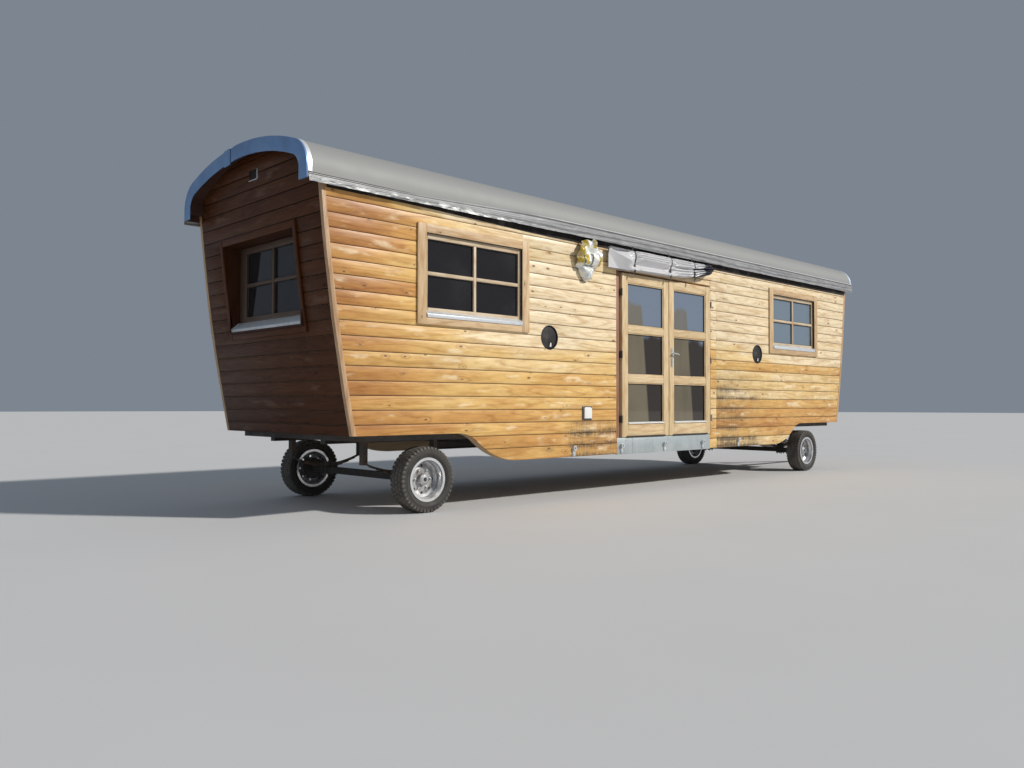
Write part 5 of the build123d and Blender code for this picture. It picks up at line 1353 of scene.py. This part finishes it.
def roll_point(x, angle, layer):
    """A point (y, z) of the roll: angle 0 is its top and 90 degrees its front; layer 1 is outermost."""
    low = through(x, ((-1.3, 2.745), (-0.1, 2.765), (0.2, 2.78), (0.5, 2.815), (0.7, 2.87), (0.8, 2.89)))
    middle, half = (AWNING_TOP + low) / 2, (AWNING_TOP - low) / 2
    drift, fine = ripple(x * 0.9, 5.0, 1.0), ripple(x * 6.0, 2.4 * cos(angle), 2.4 * sin(angle))
    squeeze = sum(near(x, tie, 0.045) for tie in AWNING_TIES)
    z = cos(angle) * (1 - 0.1 * squeeze * layer + 0.03 * fine)
    down = min(max((1 - z) / 2 + 0.04 * drift * sin(angle), 0.0), 1.0)
    if sin(angle) > 0:
        pleated = smooth_step(x, -0.25, 0.25)
        out = (1 - pleated) * through(down, BAGGED_FRONT) + pleated * through(down, PLEATED_FRONT)
        for tie in AWNING_TIES:
            out += 0.01 * near(x, tie, 0.12) * (1 - near(x, tie, 0.03)) * sin(11 * angle + 40 * (x - tie))
        out = out * (1 - 0.35 * squeeze) + 0.004 * fine
    else:
        out = 0.05 * sin(angle)
    y = AWNING_Y - min(out, 0.061) * layer
    z = middle + half * layer * z
    folded = 1 - smooth_step(x, FOLD_END - 0.1, FOLD_END + 0.1)
    if folded > 0:
        closing = smooth_step(-x, 0.9, 1.3)
        crease = 3.005 - 0.15 * (x - AWNING_START) / (FOLD_END - AWNING_START)
        ridge = -1.386 + 0.06 * closing
        if sin(angle) < 0:
            plane = AWNING_Y + 0.05 - 0.02 * closing
        elif z > crease:
            plane = ridge + 0.09 * (z - crease) / max(AWNING_TOP - crease, 0.012)
        else:
            plane = ridge + 0.07 * (crease - z) / (crease - low)
        plane = min(plane, AWNING_Y + 0.05 - 0.02 * closing) + 0.05 * (1 - layer) * (1 - closing)
        y += (plane - y) * folded * min(1.0, abs(sin(angle)) * 5)
    return y, z


def rolled_sheet(start, end, turns, slices, steps, ragged, narrowing=None):
    """A sheet wound into a roll along X: each turn lies inside the one before."""
    def wound(u, v):
        left = turns * (1 - (v + 1) / 2)
        fray = ragged * (0.5 + ripple((v + 1) / 2 * 19.0, 3.0, 4.0))
        x = start + (end - fray - start) * (u + 1) / 2
        y, z = roll_point(x, (radians(205) - tau * left) % tau, 1 - 0.075 * left)
        if narrowing:
            y, z = narrowing(x, y, z)
        return Vector((MIDDLE + x, y, z))

    bm = shaped_grid(slices, steps, wound)
    thicken(bm, 0.0011)
    return bm


def tapered(x, y, z):
    """Round the dark inner roll off towards its loose end, which lifts a little."""
    scale = 0.9 + 0.24 * near(x, 0.76, 0.09) - 0.66 * smooth_step(x, 0.8, 0.965) ** 2
    middle = through(x, ((0.5, 2.915), (0.8, 2.95), (0.95, 2.975)))
    own_middle = (AWNING_TOP + through(x, ((0.5, 2.815), (0.7, 2.87), (0.8, 2.89)))) / 2
    return AWNING_Y + (y - AWNING_Y) * scale, middle + (z - own_middle) * min(scale * 1.15, 1.12)


def tie_band(tie):
    """A flat tie round the roll, its knot at the front, its ends hanging, and its loop to the eave."""
    def round_roll(u, v):
        angle = pi * (v + 1)
        y, z = roll_point(tie, angle, 1.0)
        out = Vector((0, -sin(angle), cos(angle))) * 0.004
        return Vector((MIDDLE + tie + u * TIE_WIDTH / 2, y + out.y, z + out.z))

    bm = shaped_grid(2, 72, round_roll, closed=True)
    thicken(bm, 0.0016)
    y, z = roll_point(tie, radians(118), 1.0)
    add_block(bm, (tie - 0.018, y - 0.014, z - 0.02), (tie + 0.018, y + 0.004, z + 0.016), 0.006, 3)
    for lean, length in ((-0.012, 0.12), (0.01, 0.095)):
        def hanging(point):
            below = z - point.z
            return point + Vector((lean * below / 0.1, 0.05 * min(0.0, 0.05 - below), 0))

        tail = block((tie - 0.009, y - 0.0095, z - length), (tie + 0.009, y - 0.008, z), 0.0005, 1)
        put(bm, sliced(tail, 2, 10), RIGHT, hanging)
    y, z = roll_point(tie, radians(-20), 1.0)
    loop = block((tie - 0.011, y - 0.0008, z - 0.004), (tie + 0.011, y + 0.0008, 3.07), 0.0005, 1)
    put(bm, sliced(loop, 2, 6), RIGHT)
    return bm


def awning():
    """The rolled sheet, the dark cloth at its front end, and the ties."""
    bm = rolled_sheet(AWNING_START, AWNING_END, 1.8, 215, 210, 0.16)
    roll = piece(bm, "awning_sheet", awning_cloth, ["awning_roll"], smooth=50)
    bm = rolled_sheet(0.46, 0.965, 1.6, 70, 110, 0.02, tapered)
    lining = piece(bm, "awning_valance", navy_cloth, smooth=50)
    bm = bmesh.new()
    for tie in AWNING_TIES:
        put(bm, tie_band(tie))
    piece(bm, "awning_ties", strap_webbing, smooth=50)


awning()


# Film bag tied over the wall lamp

BAG_MIDDLE = Vector((-1.665, 2.8))
BAG_OUTLINE = ((-1.64, 3.05), (-1.66, 3.02), (-1.72, 3.04), (-1.79, 3.01), (-1.81, 2.95), (-1.86, 2.94),
               (-1.885, 2.86), (-1.875, 2.79), (-1.855, 2.73), (-1.825, 2.7), (-1.79, 2.65), (-1.74, 2.59),
               (-1.72, 2.555), (-1.65, 2.55), (-1.62, 2.585), (-1.585, 2.65), (-1.58, 2.7), (-1.5, 2.71),
               (-1.44, 2.76), (-1.425, 2.82), (-1.46, 2.88), (-1.49, 2.95), (-1.53, 3.025), (-1.58, 3.045))
BAG_PANELS = ((-1.755, 2.99, 0.045, 0.05), (-1.6, 2.99, 0.05, 0.05), (-1.85, 2.85, 0.05, 0.1),
              (-1.75, 2.8, 0.04, 0.055), (-1.5, 2.79, 0.055, 0.05))
# Dark marks: a line across the gathered neck, which is painted shade in its crease, a stroke at the left and
# a strip right of the middle panel.
BAG_DARK = ((-1.67, 2.8, 0.022, 0.07), (-1.8, 2.79, 0.01, 0.05), (-1.7, 2.728, 0.09, 0.008))
# Creases: turns per metre across and up, where each starts, and its depth
BAG_CREASES = ((7.0, 3.0, 0.3, 0.03), (-5.0, 9.0, 0.7, 0.024),
               (15.0, -4.0, 0.1, 0.014), (6.0, 21.0, 0.5, 0.01))


def bag_rim(angle):
    """How far the bag's edge is from its middle at an angle from +X, counter-clockwise."""
    spokes = [(x - BAG_MIDDLE.x, z - BAG_MIDDLE.y) for x, z in BAG_OUTLINE]
    turned = sorted((atan2(z, x) % tau, hypot(x, z)) for x, z in spokes)
    turned = [(turned[-1][0] - tau, turned[-1][1]), *turned, (turned[0][0] + tau, turned[0][1])]
    return through(angle % tau, turned)


def panel(x, z, panels):
    """How much a point belongs to one of some soft-edged panels."""
    return max(smooth_step(1 - max(abs(x - cx) / half_x, abs(z - cz) / half_z), -0.15, 0.15)
               for cx, cz, half_x, half_z in panels)


def lamp_bag():
    """Thin film gathered over the lamp: petals above, a narrow cone below, all in crisp crumples."""
    bm = bmesh.new()
    bmesh.ops.create_circle(bm, cap_ends=False, segments=170, radius=1)
    rings, ring = 64, bm.edges[:]
    for _ in range(rings - 2):
        made = bmesh.ops.extrude_edge_only(bm, edges=ring)["geom"]
        verts = [g for g in made if isinstance(g, bmesh.types.BMVert)]
        ring = [g for g in made if isinstance(g, bmesh.types.BMEdge) and len(g.link_faces) == 1]
        for vert in verts:
            length = vert.co.length
            vert.co *= (length - 1 / rings) / length
    bmesh.ops.contextual_create(bm, geom=ring)
    ochre, dark = bm.verts.layers.float.new("ochre"), bm.verts.layers.float.new("dark")
    for vert in bm.verts:
        out, angle = vert.co.length, atan2(vert.co.y, vert.co.x)
        reach = bag_rim(angle) * out
        x, z = BAG_MIDDLE.x + reach * cos(angle), BAG_MIDDLE.y + reach * sin(angle)
        vert[ochre], vert[dark] = panel(x, z, BAG_PANELS), panel(x, z, BAG_DARK) * 0.85
        warp = 0.35 * ripple(x * 5, z * 5, 2.0)
        upper = smooth_step(z, 2.68, 2.8)
        rim = 0.01 + 0.04 * upper
        full = out ** (7 - 4.4 * upper)
        depth = (0.1 + 0.02 * upper) * (1 - full) + rim * full
        for across, up, start, size in BAG_CREASES:
            fold = abs((across * x + up * z + start + warp) % 2 - 1)
            depth += size * (fold - 0.5) * (0.35 + 0.65 * upper)
        petals = smooth_step(out, 0.4, 0.9) * abs(sin(3 * angle + 0.4))
        depth += 0.035 * upper * petals - 0.03 * near(z, 2.72, 0.02)
        depth += 0.25 * (2.62 - z) * (1 - upper) * (1 - out)
        pull = 0.012 * ripple(angle * 5, 1.0, 4.0) * out
        y = -BOARD_FACE - 0.003 - min(max(depth, 0.0), 0.145)
        vert.co = Vector((MIDDLE + x + pull, y, min(z, 3.05)))
    face_outwards(bm)
    if sum(f.normal.y for f in bm.faces) > 0:
        bmesh.ops.reverse_faces(bm, faces=bm.faces)
    thicken(bm, 0.0008)
    bag = piece(bm, "lamp_bag", film, ["lamp_wrap"], smooth=14)


lamp_bag()


# Camera, floor and light

CAMERA_PLACE = Vector((-9.9275, -7.934, 1.092))
CAMERA_YAW, CAMERA_PITCH, CAMERA_ROLL = 45.865, 1.343, 0.083
SENSOR_WIDTH, LENS, SIGHT = 36, 30.06, 500
FLOOR_RADIUS, SKY, SKY_STRENGTH, SUNLIGHT = 120, (0.72, 0.84, 1.0, 1), 0.28, (1.0, 0.96, 0.9)
# Suns: name, strength, how many degrees wide, and direction
SUNS = (("key", 3.15, 3, (-0.5, 0.78, -0.6)), ("fill", 0.06, 60, (0.8, 0.35, -0.5)))


def camera():
    data = bpy.data.cameras.new("camera")
    data.sensor_width, data.lens, data.clip_end = SENSOR_WIDTH, LENS, SIGHT
    made = bpy.data.objects.new("camera", data)
    bpy.context.scene.collection.objects.link(made)
    yaw, pitch = radians(CAMERA_YAW), radians(CAMERA_PITCH)
    ahead = Vector((cos(pitch) * cos(yaw), cos(pitch) * sin(yaw), sin(pitch)))
    turn = ahead.to_track_quat("-Z", "Y").to_matrix() @ Matrix.Rotation(radians(CAMERA_ROLL), 3, "Z")
    made.matrix_world = Matrix.Translation(CAMERA_PLACE) @ turn.to_4x4()
    bpy.context.scene.camera = made


def studio():
    f = Finish("studio_floor", Roughness=0.85)
    bm = bmesh.new()
    bmesh.ops.create_circle(bm, cap_ends=True, segments=96, radius=FLOOR_RADIUS)
    mesh = bpy.data.meshes.new("studio_floor")
    bm.to_mesh(mesh)
    bm.free()
    patches = f.noise(f.place(), 0.6, 3.0)
    mesh.materials.append(f.wear(f.mix(patches, rgb(0.62, 0.62, 0.62), rgb(0.66, 0.66, 0.66))))
    floor = bpy.data.objects.new("studio_floor", mesh)
    bpy.context.scene.collection.objects.link(floor)
    world = bpy.data.worlds.new("studio")
    world.use_nodes = True
    sky = world.node_tree.nodes["Background"].inputs
    sky[0].default_value, sky[1].default_value = SKY, SKY_STRENGTH
    bpy.context.scene.world = world
    bpy.context.scene.view_settings.view_transform = "Standard"
    for name, strength, angle, towards in SUNS:
        light = bpy.data.lights.new(name, "SUN")
        light.energy, light.angle, light.color = strength, radians(angle), SUNLIGHT
        lamp = bpy.data.objects.new(name, light)
        lamp.rotation_euler = Vector(towards).to_track_quat("-Z", "Y").to_euler()
        bpy.context.scene.collection.objects.link(lamp)


camera()
studio()
